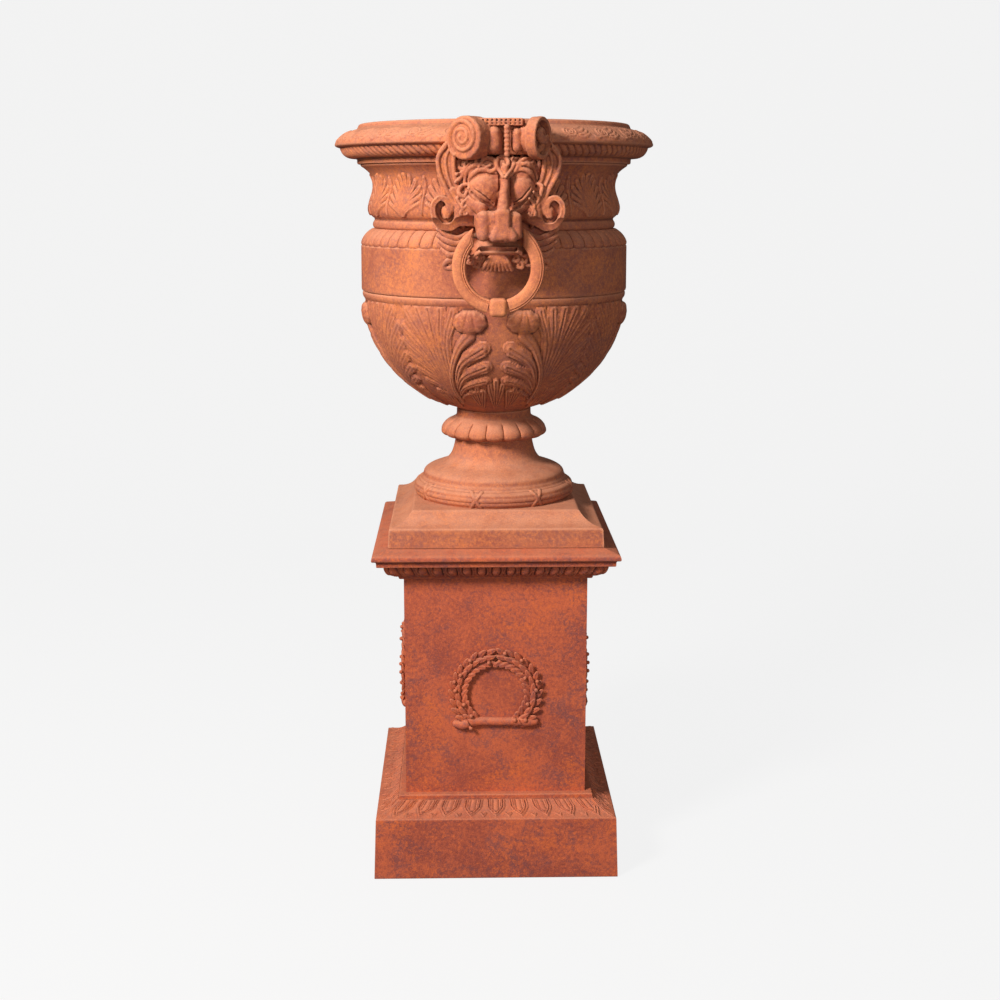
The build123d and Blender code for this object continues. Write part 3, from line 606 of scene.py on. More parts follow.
def makeBowl():
    low, tall = standing("bowl")
    centre = tall - 12
    sweepAngles = np.radians(np.linspace(-73, -1.5, 20))
    radius, depth = bowlCast["radius"], bowlCast["depth"]
    shell = [(radius * math.cos(t), centre + depth * math.sin(t)) for t in sweepAngles]
    outer = [
        [(74, 0), (80, 0)], shell, [(276, tall - 15)],
        [(279.5, tall - 12), (281, tall - 3), (279.5, tall)], [(270, tall)],
    ]
    inner = [
        (240, tall), (240, tall - 10), (266, tall - 10), (262, tall - 40), (246, tall - 88),
        (215, tall - 138), (170, tall - 190), (120, tall - 225), (88, tall - 241), (9, tall - 241),
        (9, 0),
    ]
    piece = sweepCasting("urnBowl", low, outer, inner, bowlCast, bowlRelief)
    drill(piece, bowlCast["drains"], low - 5, low + 25)
    settle(piece, urnIron, "urn_iron", "bowl")


shoulderCast = {"tongues": 60, "tongueProud": 4.6, "columns": 1200, "step": 2.4}


def shoulderRelief(angle, radius, z, travel):
    # round-ended tongues over the shoulder
    low, top = heights("belt_shoulder")
    within = folded(angle, shoulderCast["tongues"]) / (math.pi / shoulderCast["tongues"])
    down = np.clip((low + 104 - z) / 8.0, 0, 1)
    tongue = np.sqrt(np.clip(1 - within**2 - down**2, 0, 1))
    onShoulder = smoothStep(low + 95, low + 97, z) * smoothStep(top + 1, top - 2, z) * (radius > 252)
    return (tongue - 0.55) * shoulderCast["tongueProud"] * onShoulder


def makeShoulder():
    low, tall = standing("belt_shoulder")
    outer = [
        [(270, 0), (279.5, 0)], [(282.3, 2.5), (282.5, 10)], [(282, 94)],
        [(280.5, 101), (275.5, 112), (266.5, 122), (254.5, tall)], [(245, tall)],
    ]
    inner = [
        (215, tall), (215, tall - 10), (238, tall - 10), (262, 108), (273, 96), (273.5, 10), (240, 10),
        (240, 0),
    ]
    piece = sweepCasting("beltShoulder", low, outer, inner, shoulderCast, shoulderRelief)
    settle(piece, urnIron, "urn_iron", "belt_shoulder")


neckCast = {"leaves": 16, "leafProud": 3.8, "columns": 1100, "step": 2.2}
# how far each lobe's tip is from the leaf's middle, its height and its half width
neckLobes = [(0, 86, 6.6), (14, 82, 6.4), (27, 72, 6.2), (37, 59, 5.6), (42, 43, 5.0), (40, 27, 4.4)]


def neckRelief(angle, radius, z, travel):
    # upright acanthus fans with a bud between each two
    low = heights("neck")[0]
    proud = neckCast["leafProud"]
    start = travel[np.argmin(np.abs(z[:, 0] - (low + 26))), 0]
    around = folded(angle, neckCast["leaves"]) * 258
    v = travel - start + 0 * around
    lift = np.zeros(around.shape if around.shape[0] > 1 else (len(travel), around.shape[1]))
    for tipU, tipV, half in neckLobes:
        for side in ((-1, 1) if tipU else (1,)):
            path = [(side * tipU * 0.08, 2), (side * tipU * 0.35, tipV * 0.5), (side * tipU, tipV)]
            lobe = strokeHeight(around, v, path, (2.5, 4.2, half, half * 0.9), proud, 0.35)
            lift = np.maximum(lift, lobe)
    between = folded(angle, neckCast["leaves"], math.pi / neckCast["leaves"]) * 258
    stalk = strokeHeight(between, v, [(0, 4), (0, 50), (0, 62)], (1.6, 2.0, 2.4, 6.0), proud * 0.8)
    bud = strokeHeight(between, v, [(0, 62), (0, 80)], (6.0, 7.5, 4.0), proud, 0.3)
    lift = np.maximum(lift, np.maximum(stalk, bud))
    return lift * smoothStep(-1, 2, v) * smoothStep(93, 90, v)


def makeNeck():
    low, tall = standing("neck")
    outer = [
        [(245, 0), (252.5, 0)], [(256, 4), (257, 9), (255.5, 14), (252, 18)], [(251.5, 21)],
        [(258, 25), (262.5, 33), (263.5, 43), (260, 58), (254.5, 75), (252.8, 90), (255.5, 103),
         (262, 114), (272, 123), (280.5, 128.5)], [(281.5, tall)], [(270, tall)],
    ]
    inner = [
        (231, tall), (231, tall - 10), (258.5, tall - 10), (250, 112), (245.5, 92), (245.5, 10),
        (215, 10), (215, 0),
    ]
    piece = sweepCasting("urnNeck", low, outer, inner, neckCast, neckRelief)
    settle(piece, urnIron, "urn_iron", "neck")


rimCast = {"strands": 124, "scrolls": 26, "columns": 1280, "step": 2.2}


def rimRelief(angle, radius, z, travel):
    # a cable under the lip, low foliate scrolls over it and a row of drilled dots
    low, top = heights("rim")
    onCable = smoothStep(low + 12.5, low + 14, z) * smoothStep(low + 33.5, low + 31, z) * (radius < 323)
    twist = np.abs(np.sin(rimCast["strands"] * angle / 2 + (z - low) * 0.17))
    lift = (np.sqrt(twist) - 0.5) * 4.0 * onCable
    edge = travel[np.argmax(radius[:, 0]), 0]
    out = travel - edge
    unit = folded(angle, rimCast["scrolls"]) * 315
    scroll = np.zeros((len(travel), angle.shape[1]))
    for ring, half in ((12.5, 2.4), (6.5, 2.0)):
        turned = np.hypot(unit + 12, out - 24)
        scroll = np.maximum(scroll, 1.9 * strokeBand(turned - ring, half))
    scroll = np.maximum(scroll, 2.2 * strokeBand(np.hypot(unit + 12, out - 24), 3.2))
    for path in ([(0, 12), (14, 9), (30, 18)], [(2, 22), (14, 26), (24, 36)], [(-1, 34), (10, 38), (18, 44)],
                 [(6, 16), (18, 18), (28, 27)], [(-22, 10), (-30, 8), (-37, 14)]):
        scroll = np.maximum(scroll, strokeHeight(unit, out, path, (1.5, 3.6, 2.6), 2.1, 0.3))
    onLip = smoothStep(3, 6, out) * smoothStep(top - 10.8, top - 12.5, z)
    dots = np.exp(-(np.hypot(folded(angle, 150) * 296, out - 52) / 1.5) ** 2) * -1.6
    return np.where(out > 0, (scroll * 0.7 + dots) * onLip, lift)


def makeRim():
    low, tall = standing("rim")
    outer = [
        [(280, 0), (287.5, 0)], [(287.5, 11.5)], [(292, 12.5)], [(306, 15), (316, 22), (321.5, 33)],
        [(331, 35)], [(334.5, 38.5)], [(330, 47), (321, 56), (309, 64), (289.5, tall - 11)],
        [(286.5, tall - 10.5), (283.5, tall - 1.5), (281, tall)], [(258, tall)],
        [(256.5, tall - 2), (256.5, 40)],
    ]
    inner = [(256.5, 10), (231, 10), (231, 0)]
    piece = sweepCasting("urnRim", low, outer, inner, rimCast, rimRelief)
    settle(piece, urnIron, "urn_iron", "rim")


print("castings:")
pedestalMakers = (makePlinth, makeCap, makeBaseBlock)
urnMakers = (makeFoot, makeCollar, makeBowl, makeShoulder, makeNeck, makeRim)
for make in pedestalMakers + urnMakers:
    make()


# sculpted pieces are distance fields joined softly, then skinned
def newSculpt(low, high, voxel):
    low = np.array(low, float)
    counts = np.ceil((np.array(high, float) - low) / voxel).astype(int) + 1
    return {"low": low, "voxel": voxel, "field": np.full(counts, 20.0, np.float32)}


def window(sculpt, low, high):
    # the part of the field inside a box, with its coordinates
    field, voxel = sculpt["field"], sculpt["voxel"]
    start = np.clip(np.floor((np.array(low, float) - sculpt["low"]) / voxel).astype(int), 0, field.shape)
    stop = np.clip(np.ceil((np.array(high, float) - sculpt["low"]) / voxel).astype(int) + 1, 0, field.shape)
    part = tuple(slice(a, b) for a, b in zip(start, stop))
    axes = [sculpt["low"][k] + voxel * np.arange(start[k], stop[k], dtype=np.float32) for k in range(3)]
    return field[part], axes[0][:, None, None], axes[1][None, :, None], axes[2][None, None, :]


def join(part, distance, blend):
    if part.size:
        soft = np.clip(blend - np.abs(part - distance), 0, None) ** 2 * (0.25 / max(blend, 0.01))
        part[...] = np.minimum(part, distance) - soft


def cut(part, distance, blend):
    if part.size:
        soft = np.clip(blend - np.abs(part + distance), 0, None) ** 2 * (0.25 / max(blend, 0.01))
        part[...] = np.maximum(part, -distance) + soft


def strokeDistance(x, y, z, path, radii):
    found = None
    for k in range(len(path) - 1):
        a, b = path[k], path[k + 1]
        step = b - a
        t = ((x - a[0]) * step[0] + (y - a[1]) * step[1] + (z - a[2]) * step[2]) / (step @ step + 1e-9)
        t = np.clip(t, 0, 1)
        gaps = [v - start - t * run for v, start, run in zip((x, y, z), a, step)]
        away = np.sqrt(gaps[0] ** 2 + gaps[1] ** 2 + gaps[2] ** 2) - radii[k] - t * (radii[k + 1] - radii[k])
        found = away if found is None else np.minimum(found, away)
    return found


def stroke(sculpt, path, radii, blend=2.5, carve=False, spacing=5.0):
    # a round strand along a path, or a groove along it
    line = smoothLine(path, spacing)
    radii = radii if isinstance(radii, (tuple, list)) else (radii, radii)
    width = np.interp(np.linspace(0, 1, len(line)), np.linspace(0, 1, len(radii)), radii)
    margin = max(radii) + blend + 3 * sculpt["voxel"]
    part, x, y, z = window(sculpt, line.min(0) - margin, line.max(0) + margin)
    if part.size:
        (cut if carve else join)(part, strokeDistance(x, y, z, line, width), blend)


def ball(sculpt, centre, radii, blend=4.0, carve=False):
    radii = np.array(radii if isinstance(radii, (tuple, list)) else (radii,) * 3, float)
    centre = np.array(centre, float)
    margin = radii + blend + 3 * sculpt["voxel"]
    part, x, y, z = window(sculpt, centre - margin, centre + margin)
    if part.size:
        parts = [((v - c) / r) ** 2 for v, c, r in zip((x, y, z), centre, radii)]
        (cut if carve else join)(part, (np.sqrt(parts[0] + parts[1] + parts[2]) - 1) * radii.min(), blend)


def brick(sculpt, low, high, rounding=4.0, blend=3.0, carve=False):
    low, high = np.array(low, float), np.array(high, float)
    margin = blend + 3 * sculpt["voxel"]
    part, x, y, z = window(sculpt, low - margin, high + margin)
    if part.size:
        past = [np.abs(v - (a + b) / 2) - ((b - a) / 2 - rounding) for v, a, b in zip((x, y, z), low, high)]
        outside = np.sqrt(sum(np.clip(p, 0, None) ** 2 for p in past))
        inside = np.minimum(np.maximum(np.maximum(past[0], past[1]), past[2]), 0)
        (cut if carve else join)(part, outside + inside - rounding, blend)


def drum(sculpt, centre, axis, radius, length, rounding=3.0, blend=3.0, carve=False):
    # a round bar that runs back from its front face along an axis
    centre, axis = np.array(centre, float), np.array(axis, float) / np.linalg.norm(axis)
    back = centre - axis * length
    margin = radius + blend + 3 * sculpt["voxel"]
    part, x, y, z = window(sculpt, np.minimum(centre, back) - margin, np.maximum(centre, back) + margin)
    if part.size:
        along = (x - centre[0]) * axis[0] + (y - centre[1]) * axis[1] + (z - centre[2]) * axis[2]
        total = (x - centre[0]) ** 2 + (y - centre[1]) ** 2 + (z - centre[2]) ** 2
        side = np.sqrt(np.clip(total - along**2, 0, None)) - (radius - rounding)
        ends = np.abs(along + length / 2) - (length / 2 - rounding)
        outside = np.hypot(np.clip(side, 0, None), np.clip(ends, 0, None))
        (cut if carve else join)(part, outside + np.minimum(np.maximum(side, ends), 0) - rounding, blend)


def ribbon(sculpt, path, half, front, back, rounding=3.0, blend=2.0):
    # a flat band on edge: a path seen from the front, carried from a front depth to a back depth
    line = np.insert(smoothLine(path, 4.0), 1, 0.0, axis=1)
    half = half if isinstance(half, (tuple, list)) else (half, half)
    width = np.interp(np.linspace(0, 1, len(line)), np.linspace(0, 1, len(half)), half)
    margin = max(half) + blend + 3 * sculpt["voxel"]
    low, high = line.min(0) - margin, line.max(0) + margin
    low[1], high[1] = front - blend - 3, back + blend + 3
    part, x, y, z = window(sculpt, low, high)
    if part.size:
        side = strokeDistance(x, 0 * y, z, line, width) + rounding
        ends = np.abs(y - (front + back) / 2) - ((back - front) / 2 - rounding)
        outside = np.hypot(np.clip(side, 0, None), np.clip(ends, 0, None))
        join(part, outside + np.minimum(np.maximum(side, ends), 0) - rounding, blend)


def drape(sculpt, path, lift=0.0):
    # sets a path seen from the front down on what has been sculpted so far
    placed = []
    bed = sculpt.get("bed", sculpt["field"])
    for x, z in smoothLine(path, 5.0):
        spot = ((np.array([x, z]) - sculpt["low"][[0, 2]]) / sculpt["voxel"]).round().astype(int)
        spot = np.clip(spot, 0, np.array(sculpt["field"].shape)[[0, 2]] - 1)
        column = bed[spot[0], :, spot[1]]
        solid = np.argmax(column < 0) if (column < 0).any() else len(column) - 1
        placed.append((x, sculpt["low"][1] + sculpt["voxel"] * solid - lift, z))
    depth = np.array([p[1] for p in placed])
    for _ in range(2):
        depth[1:-1] = 0.25 * depth[:-2] + 0.5 * depth[1:-1] + 0.25 * depth[2:]
    return [(p[0], d, p[2]) for p, d in zip(placed, depth)]


def lock(sculpt, path, radii, lift=0.0, blend=1.6, carve=False):
    stroke(sculpt, drape(sculpt, path, lift), radii, blend, carve, 6.0)


def skin(name, sculpt):
    grid = openvdb.FloatGrid(20.0)
    grid.copyFromArray(np.ascontiguousarray(sculpt["field"]))
    points, _, quads = grid.convertToPolygons(isovalue=0.0, adaptivity=0.0)
    points = (points * sculpt["voxel"] + sculpt["low"]) * mm
    return meshFromFaces(name, points, quads, 180)


maskCast = {
    "voxel": 1.5, "strand": 3.6, "wander": 0.5,
    "volute": 40, "voluteHeight": 1534, "leftTurn": 40, "rightTurn": 62,  # radius, mm, degrees
}


def sculptVolutes(clay):
    # the two rolls over the rim and the turned baluster between them
    high, size = maskCast["voluteHeight"], maskCast["volute"]
    turn = math.radians(maskCast["leftTurn"])
    facing = np.array([-math.sin(turn), -math.cos(turn), 0])
    across = np.array([math.cos(turn), -math.sin(turn), 0])
    centre = np.array([-68, -374, high]) - facing * 1.0
    drum(clay, centre - facing * 3, facing, size, 44, 5)
    drum(clay, centre - facing * 0.5, facing, 25, 20, 4, 5)
    drum(clay, centre + facing * 2, facing, 13, 20, 4, 5)

    def onFace(radius, degrees, out):
        a = math.radians(degrees)
        return tuple(centre + facing * out + across * radius * math.cos(a)
                     + np.array([0, 0, 1.0]) * radius * math.sin(a))

    turns = np.linspace(0, 1, 60)
    rim = [onFace(36.5 - 32 * t**0.85, 235 - 820 * t, -4.0 + 5.5 * t) for t in turns]
    groove = [onFace(36.5 - 32 * t**0.85 - 4.6 + 1.2 * t, 235 - 820 * t, 1.2 + 5.5 * t) for t in turns]
    stroke(clay, rim, (5.0, 4.6, 4.2, 3.6, 3.4), 0.8, False, 4.0)
    stroke(clay, groove[:54], (2.8, 2.5, 2.2, 1.8), 0.6, True, 4.0)

    turn = math.radians(maskCast["rightTurn"])
    facing = np.array([math.sin(turn), -math.cos(turn), 0])
    centre = np.array([84, -362, high])
    drum(clay, centre, facing, size - 1, 22, 3)
    stroke(clay, [(46, -340, high - 2), (64, -346, high - 1)], (23, 31), 3)
    drum(clay, centre + facing * 4, facing, size - 8, 20, 2, 1.5, True)
    beside = np.array([-facing[1], facing[0], 0])
    inner = []
    for t in np.linspace(0, 1, 14):
        reach, a = 24 - 20 * t, math.radians(-100 + 330 * t)
        inner.append(centre - facing * (14 - 12 * t) + beside * reach * math.cos(a)
                     + np.array([0, 0, reach * math.sin(a)]))
    stroke(clay, inner, (5.5, 6.0, 7.0, 8.0), 2)

    brick(clay, (-36, -350, high - 30), (50, -290, high + 36), 4)
    stroke(clay, [(-9, -359, high + 6), (-9, -360, high - 14)], (15.0, 15.5), 1.0)
    stroke(clay, [(34, -359, high + 7), (34, -359, high - 16)], (10.5, 10.5), 1.0)
    for level in np.linspace(high - 29, high + 19, 7):
        ball(clay, (16, -369, level), 5.8, 0.4)
    brick(clay, (-34, -366, high + 22), (46, -300, high + 36), 3, 2)
    for row, depth in ((high + 26, -366), (high + 32, -365)):
        for place in np.arange(-28, 44, 8.5):
            ball(clay, (place + (row % 2) * 4, depth, row), 2.2, 0.6, True)


def sculptStraps(clay):
    # bands that run from the rolls down the sides of the face and curl up beside the muzzle
    for side, out in ((-1, 0), (1, 3)):
        ball(clay, (side * 64, -292, 1450), (38, 44, 66), 8)
        band = [(side * 84, 1524), (side * (97 + out), 1500), (side * (96 + out), 1472), (side * 86, 1440),
                (side * 79, 1414)]
        ribbon(clay, band, (14, 18, 16, 12, 9), -338, -262, 4)
        for edge, reach in ((-1, 0.86), (0, 0), (1, 0.86)):
            shifted = [(x + edge * side * w * reach, z) for (x, z), w in zip(band, (13, 17, 16, 12, 6))]
            lock(clay, shifted, 4.4 if edge else 2.8, 0.8)
        curl = [(84, 1438), (72, 1414), (73, 1388), (88, 1371), (108, 1373), (121, 1392), (121, 1413),
                (110, 1424), (97, 1420), (91, 1405), (97, 1391)]
        curl = [(side * x, z) for x, z in curl]
        ribbon(clay, curl, (7, 7.5, 8, 8, 7.5, 6.5, 6, 5.5, 5.5, 6, 6), -343, -262, 3.5)
        drum(clay, (side * 97, -328, 1399), (0, -1, 0), 27, 60, 3)
        ball(clay, (side * 98, -332, 1398), (9, 10, 12), 3)
        for shift in (-3.6, 3.6):
            grow = 1 + shift / 30
            inner = [((x - side * 97) * grow + side * 97, (z - 1399) * grow + 1399) for x, z in curl[1:8]]
            lock(clay, inner, 1.5, 0.8, 0.8)


def sculptFace(clay):
    strand = maskCast["strand"]
    ball(clay, (0, -290, 1440), (74, 72, 66), 6)
    ball(clay, (0, -270, 1392), (92, 46, 60), 8)
    brick(clay, (-56, -358, 1450), (66, -290, 1500), 20, 6)
    brick(clay, (-42, -391, 1350), (42, -300, 1401), 15, 6)
    ball(clay, (-56, -322, 1405), (30, 32, 34), 10)
    ball(clay, (66, -318, 1408), (26, 30, 34), 10)
    bridge = [(12, -362, 1478), (12, -371, 1450), (9, -381, 1418), (8, -388, 1398)]
    stroke(clay, bridge, (8, 8, 9.5, 12), 4)
    brick(clay, (-7, -399, 1358), (22, -350, 1403), 7, 3)
    ball(clay, (7.5, -388, 1355), (21, 13, 12), 4)
    stroke(clay, [(-4, -391, 1366), (-8, -391, 1353)], (7, 9.5), 3)
    stroke(clay, [(20, -391, 1366), (26, -391, 1354)], (7, 9.5), 3)
    stroke(clay, [(-28, -382, 1390), (-28, -384, 1358)], (11.5, 13), 3)
    stroke(clay, [(36, -380, 1390), (34, -382, 1358)], (7, 10), 3)
    stroke(clay, [(-11, -397, 1402), (-13, -399, 1380), (-21, -401, 1358)], (1.8, 2.4, 2.6), 1.2, True)
    stroke(clay, [(27, -394, 1405), (26, -398, 1382), (34, -401, 1358)], (4.2, 3.6, 2.6), 1.2, True)
    ball(clay, (8, -399, 1343), (4.5, 9, 5), 1.5, True)
    ball(clay, (-6, -402, 1345.5), (5, 5, 2.2), 1.2, True)
    ball(clay, (21, -402, 1345.5), (5, 5, 2.2), 1.2, True)
    ball(clay, (-25, -346, 1441), (31, 25, 29), 4)
    ball(clay, (43, -343, 1439), (27, 25, 30), 4)
    stroke(clay, [(-52, -345, 1419), (-32, -354, 1407)], (11, 13), 2)
    stroke(clay, [(32, -352, 1402), (60, -334, 1417)], (9, 11), 2)
    clay["bed"] = clay["field"].copy()
    lock(clay, [(-50, 1434), (-30, 1420), (-6, 1403)], (3.6, 4.2, 4.6), -1.2, 0.8, True)
    lock(clay, [(21, 1402), (44, 1414), (64, 1436)], (4.4, 4.2, 3.2), -1.2, 0.8, True)
    lock(clay, [(-44, 1441), (-26, 1429), (-9, 1415)], (1.5, 1.8, 1.4), 0, 0.8, True)
    lock(clay, [(26, 1415), (44, 1425), (60, 1444)], (1.5, 1.8, 1.4), 0, 0.8, True)
    lock(clay, [(2, 1470), (2, 1440), (-5, 1404)], (2.6, 2.8, 2.8), -0.5, 1, True)
    lock(clay, [(21.5, 1470), (21, 1440), (24, 1404)], (2.6, 2.8, 3.4), -0.5, 1, True)
    browArcs = [
        [(-55, 1442), (-52, 1462), (-34, 1476), (-4, 1471)],
        [(-63, 1446), (-60, 1470), (-42, 1486), (-26, 1483)],
        [(24, 1468), (42, 1477), (60, 1471), (69, 1450)], [(29, 1478), (46, 1487), (65, 1481), (74, 1460)],
        [(34, 1487), (50, 1496), (65, 1492), (75, 1474)],
    ]
    for arc in browArcs:
        lock(clay, arc, (2.6, strand + 0.8, strand + 1.4, 2.4), 1.6, 0.6)
    curls = [
        [(-36, 1482), (-26, 1496), (-8, 1494), (-3, 1481), (-14, 1473), (-23, 1479), (-15, 1485)],
        [(9, 1487), (15, 1482), (19, 1490), (12, 1499), (0, 1497), (-4, 1485), (3, 1473), (8, 1463)],
        [(8, 1506), (24, 1501), (29, 1487), (22, 1474), (13, 1463)],
        [(16, 1510), (34, 1502), (38, 1486), (30, 1473), (20, 1464)],
        [(41, 1480), (40, 1492), (50, 1503), (62, 1499), (65, 1489), (56, 1486)],
        [(-42, 1490), (-30, 1504), (-12, 1507), (2, 1505)],
        [(-58, 1498), (-73, 1496), (-74, 1481), (-63, 1478), (-62, 1488)],
        [(-52, 1488), (-66, 1472), (-78, 1468)], [(-58, 1480), (-72, 1460), (-80, 1454)],
        [(-56, 1450), (-68, 1447), (-74, 1434), (-64, 1427), (-58, 1436)],
        [(70, 1502), (78, 1490), (74, 1476)], [(72, 1452), (82, 1446), (80, 1430)],
    ]
    for curl in curls:
        lock(clay, curl, (3.0, strand + 0.8, strand + 0.8, 3.0), 2.8, 0.5)
    whiskers = ((1424, 1394, 58), (1410, 1378, 60), (1396, 1364, 58), (1384, 1352, 56), (1436, 1412, 66))
    for side in (-1, 1):
        for start, end, x in whiskers:
            path = [(side * x, start), (side * (x + 10), start - 12), (side * (x + 5), end)]
            lock(clay, path, (2.4, 3.8, 2.0), 1.0, 0.8)


def sculptBeard(clay):
    # ruffs that sweep out below the curls, an open mouth and a short beard between the ring's arms
    ball(clay, (0, -285, 1322), (70, 34, 30), 6)
    ruffs = [
        [(56, 1360), (76, 1349), (94, 1354), (114, 1366)],
        [(56, 1350), (76, 1339), (94, 1343), (114, 1354)],
        [(56, 1340), (76, 1329), (94, 1331), (111, 1342)],
        [(58, 1330), (76, 1319), (92, 1317), (106, 1328)],
        [(60, 1319), (80, 1308), (96, 1305), (100, 1295), (89, 1292), (86, 1301)],
    ]
    for side in (-1, 1):
        brick(clay, (min(side * 40, side * 102), -306, 1318), (max(side * 40, side * 102), -262, 1370), 8, 6)
        for k, ruff in enumerate(ruffs):
            path = [(side * x, (-312 - 2 * (k % 2)) if x < 97 else -305, z) for x, z in ruff]
            stroke(clay, path, (3.5, 5.6, 6.2, 4.2), 0.8)
    brick(clay, (-40, -352, 1318), (42, -300, 1334), 8, 4)
    stroke(clay, [(-50, -346, 1314), (-40, -362, 1322), (-24, -370, 1332)], (4.5, 4.2, 3.0), 1.5)
    stroke(clay, [(54, -346, 1316), (42, -362, 1323), (26, -370, 1332)], (4.5, 4.2, 3.0), 1.5)
    brick(clay, (-34, -392, 1326), (36, -338, 1341), 4, 1.5, True)
    for fan in np.linspace(-1, 1, 8):
        path = [(-1 + fan * 7, -345, 1322), (-1 + fan * 20, -343, 1305), (-1 + fan * 28, -332, 1290)]
        stroke(clay, path, (3.2, 4.4, 3.4), 0.7)
    for x, z in ((-52, 1308), (-40, 1302), (-32, 1312), (34, 1312), (42, 1300), (50, 1310), (60, 1304)):
        curl = [(x - 5, -328, z + 6), (x + 5, -331, z + 3), (x + 4, -331, z - 6), (x - 5, -329, z - 5),
                (x - 3, -329, z)]
        stroke(clay, curl, (3.2, 3.8, 3.0), 0.8)


def makeMasks():
    clay = newSculpt((-134, -412, 1280), (134, -240, 1580), maskCast["voxel"])
    sculptStraps(clay)
    sculptFace(clay)
    sculptBeard(clay)
    sculptVolutes(clay)
    part, x, y, z = window(clay, (-140, -420, 1270), (140, -230, 1590))
    wander = np.sin(x * 0.31 + 1.3 * np.sin(z * 0.23)) * np.sin(y * 0.27 + 0.8)
    part += maskCast["wander"] * wander * np.sin(z * 0.29 + np.sin(x * 0.2))
    # room for the ring's arms beside the muzzle, then the backs that bear on the urn
    room = np.maximum(45.2 - np.abs(x), np.hypot(y + 363.5, z - 1356) - 38)
    cut(part, room, 0.5)
    wall = np.interp(z, (1280, 1338, 1358, 1488, 1492, 1600), (276, 276, 249, 249, 262, 262))
    cut(part, np.hypot(x, y) - wall, 0.2)
    cut(part, z + 0 * x - 1284, 0.2)
    for place, turn in (("front", 0.0), ("back", math.pi)):
        piece = skin("lionMask" + place.title(), clay)
        piece.data.transform(Matrix.Rotation(turn, 4, "Z"))
        settle(piece, urnIron, "urn_iron", "lion_mask_" + place)


# drop rings
ringCast = {
    "outer": 87.5, "band": 26.5, "thick": 9.0,  # radius, width of the band and half its thickness
    "cut": 46.3, "gap": 19.5,  # half widths left for the muzzle and the knob
    "pivot": -363.5, "middle": 1295.5,
}


def makeRingArm(name, side, node, body, turn):
    # a horn that tapers to a point beside the muzzle, with fine lines along one edge
    around = np.arange(48) / 48 * 2 * math.pi
    bulge = 2 / 2.7
    over = np.sign(np.cos(around)) * np.abs(np.cos(around)) ** bulge
    front = np.sign(np.sin(around)) * np.abs(np.sin(around)) ** bulge
    lineAt = -0.62 if side < 0 else 0.66
    front = front - np.clip(front, 0, 1) * 0.3 * np.exp(-((over - lineAt) / 0.07) ** 2)
    front = front - np.clip(front, 0, 1) * 0.17 * np.exp(-((over - lineAt * 0.62) / 0.06) ** 2)
    rows = []
    foot = math.pi - math.asin(ringCast["gap"] / (ringCast["outer"] - ringCast["band"] / 2))
    head = math.asin(ringCast["cut"] / (ringCast["outer"] - 2))
    for angle in np.linspace(head, foot, 150):
        inner = max(ringCast["outer"] - ringCast["band"], ringCast["cut"] / math.sin(max(angle, 0.3)))
        if angle > math.pi / 2:
            inner = ringCast["outer"] - ringCast["band"]
        half = (ringCast["outer"] - inner) / 2
        radius = inner + half + over * half
        thick = ringCast["thick"] * min(1.0, 0.5 + half / 20)
        rows.append(np.stack([side * radius * math.sin(angle), ringCast["pivot"] - front * thick,
                              ringCast["middle"] + radius * math.cos(angle)], 1))
    count = len(around)
    strip = np.arange(count // 2 - 1)  # the flat ends are closed with strips of faces
    cap = np.stack([strip, strip + 1, count - 2 - strip, count - 1 - strip], 1)
    faces = np.vstack([gridFaces(len(rows), count, False, True), cap[:, ::-1], cap + (len(rows) - 1) * count])
    piece = meshFromFaces(name, np.vstack(rows) * mm, faces if side > 0 else faces[:, ::-1], 50)
    piece.data.transform(Matrix.Rotation(turn, 4, "Z"))
    settle(piece, ringIron, "ring_iron", node, body=body)


def makeKnob(name, node, body, turn):
    clay = newSculpt((-24, -390, 1196), (24, -337, 1248), 1.0)
    low = ringCast["middle"] - ringCast["outer"] + ringCast["band"] / 2
    brick(clay, (-17, -379.5, low - 17.5), (17, -347.5, low + 17.5), 9, 0.1)
    piece = skin(name, clay)
    piece.data.transform(Matrix.Rotation(turn, 4, "Z"))
    settle(piece, ringIron, "ring_iron", node, body=body)


def makeRings():
    for place, turn in (("front", 0.0), ("back", math.pi)):
        for word, side in (("left", -1), ("right", 1)):
            name = "ringArm" + word.title() + place.title()
            makeRingArm(name, side, "ring_arm_" + word + "_" + place, place + "_ring", turn)
        makeKnob("ringKnob" + place.title(), "ring_knob_" + place, place + "_ring", turn)


# laurel wreaths
wreathCast = {"ring": 79, "middle": 391.5, "face": -192, "rows": 12, "leaf": 14.5, "leafHalf": 6.6}
wreathSeed = np.random.default_rng(7)


def laurelLeaf(clay, place, degrees, length, half, out):
    # a pointed leaf with a vein, lying at an angle and tipped off the panel
    a = math.radians(degrees)
    centre = np.array([place[0], wreathCast["face"] - out, place[1]])
    part, x, y, z = window(clay, centre - length - 4, centre + length + 4)
    if not part.size:
        return
    along = (x - centre[0]) * math.cos(a) + (z - centre[2]) * math.sin(a)
    over = -(x - centre[0]) * math.sin(a) + (z - centre[2]) * math.cos(a)
    rise = -(y - centre[1]) - along * 0.27
    s = np.clip(along / length, -1, 1)
    shape = np.sqrt(np.clip(1 - s**2, 0, 1)) * (1 - 0.22 * s)
    thick = 4.0
    away = (np.sqrt((over / half) ** 2 + (rise / thick) ** 2) - shape) * thick
    away = np.maximum(away, np.abs(along) - length) + 0.9 * np.exp(-(over / 1.1) ** 2) * (rise > 0)
    join(part, away, 0.4)


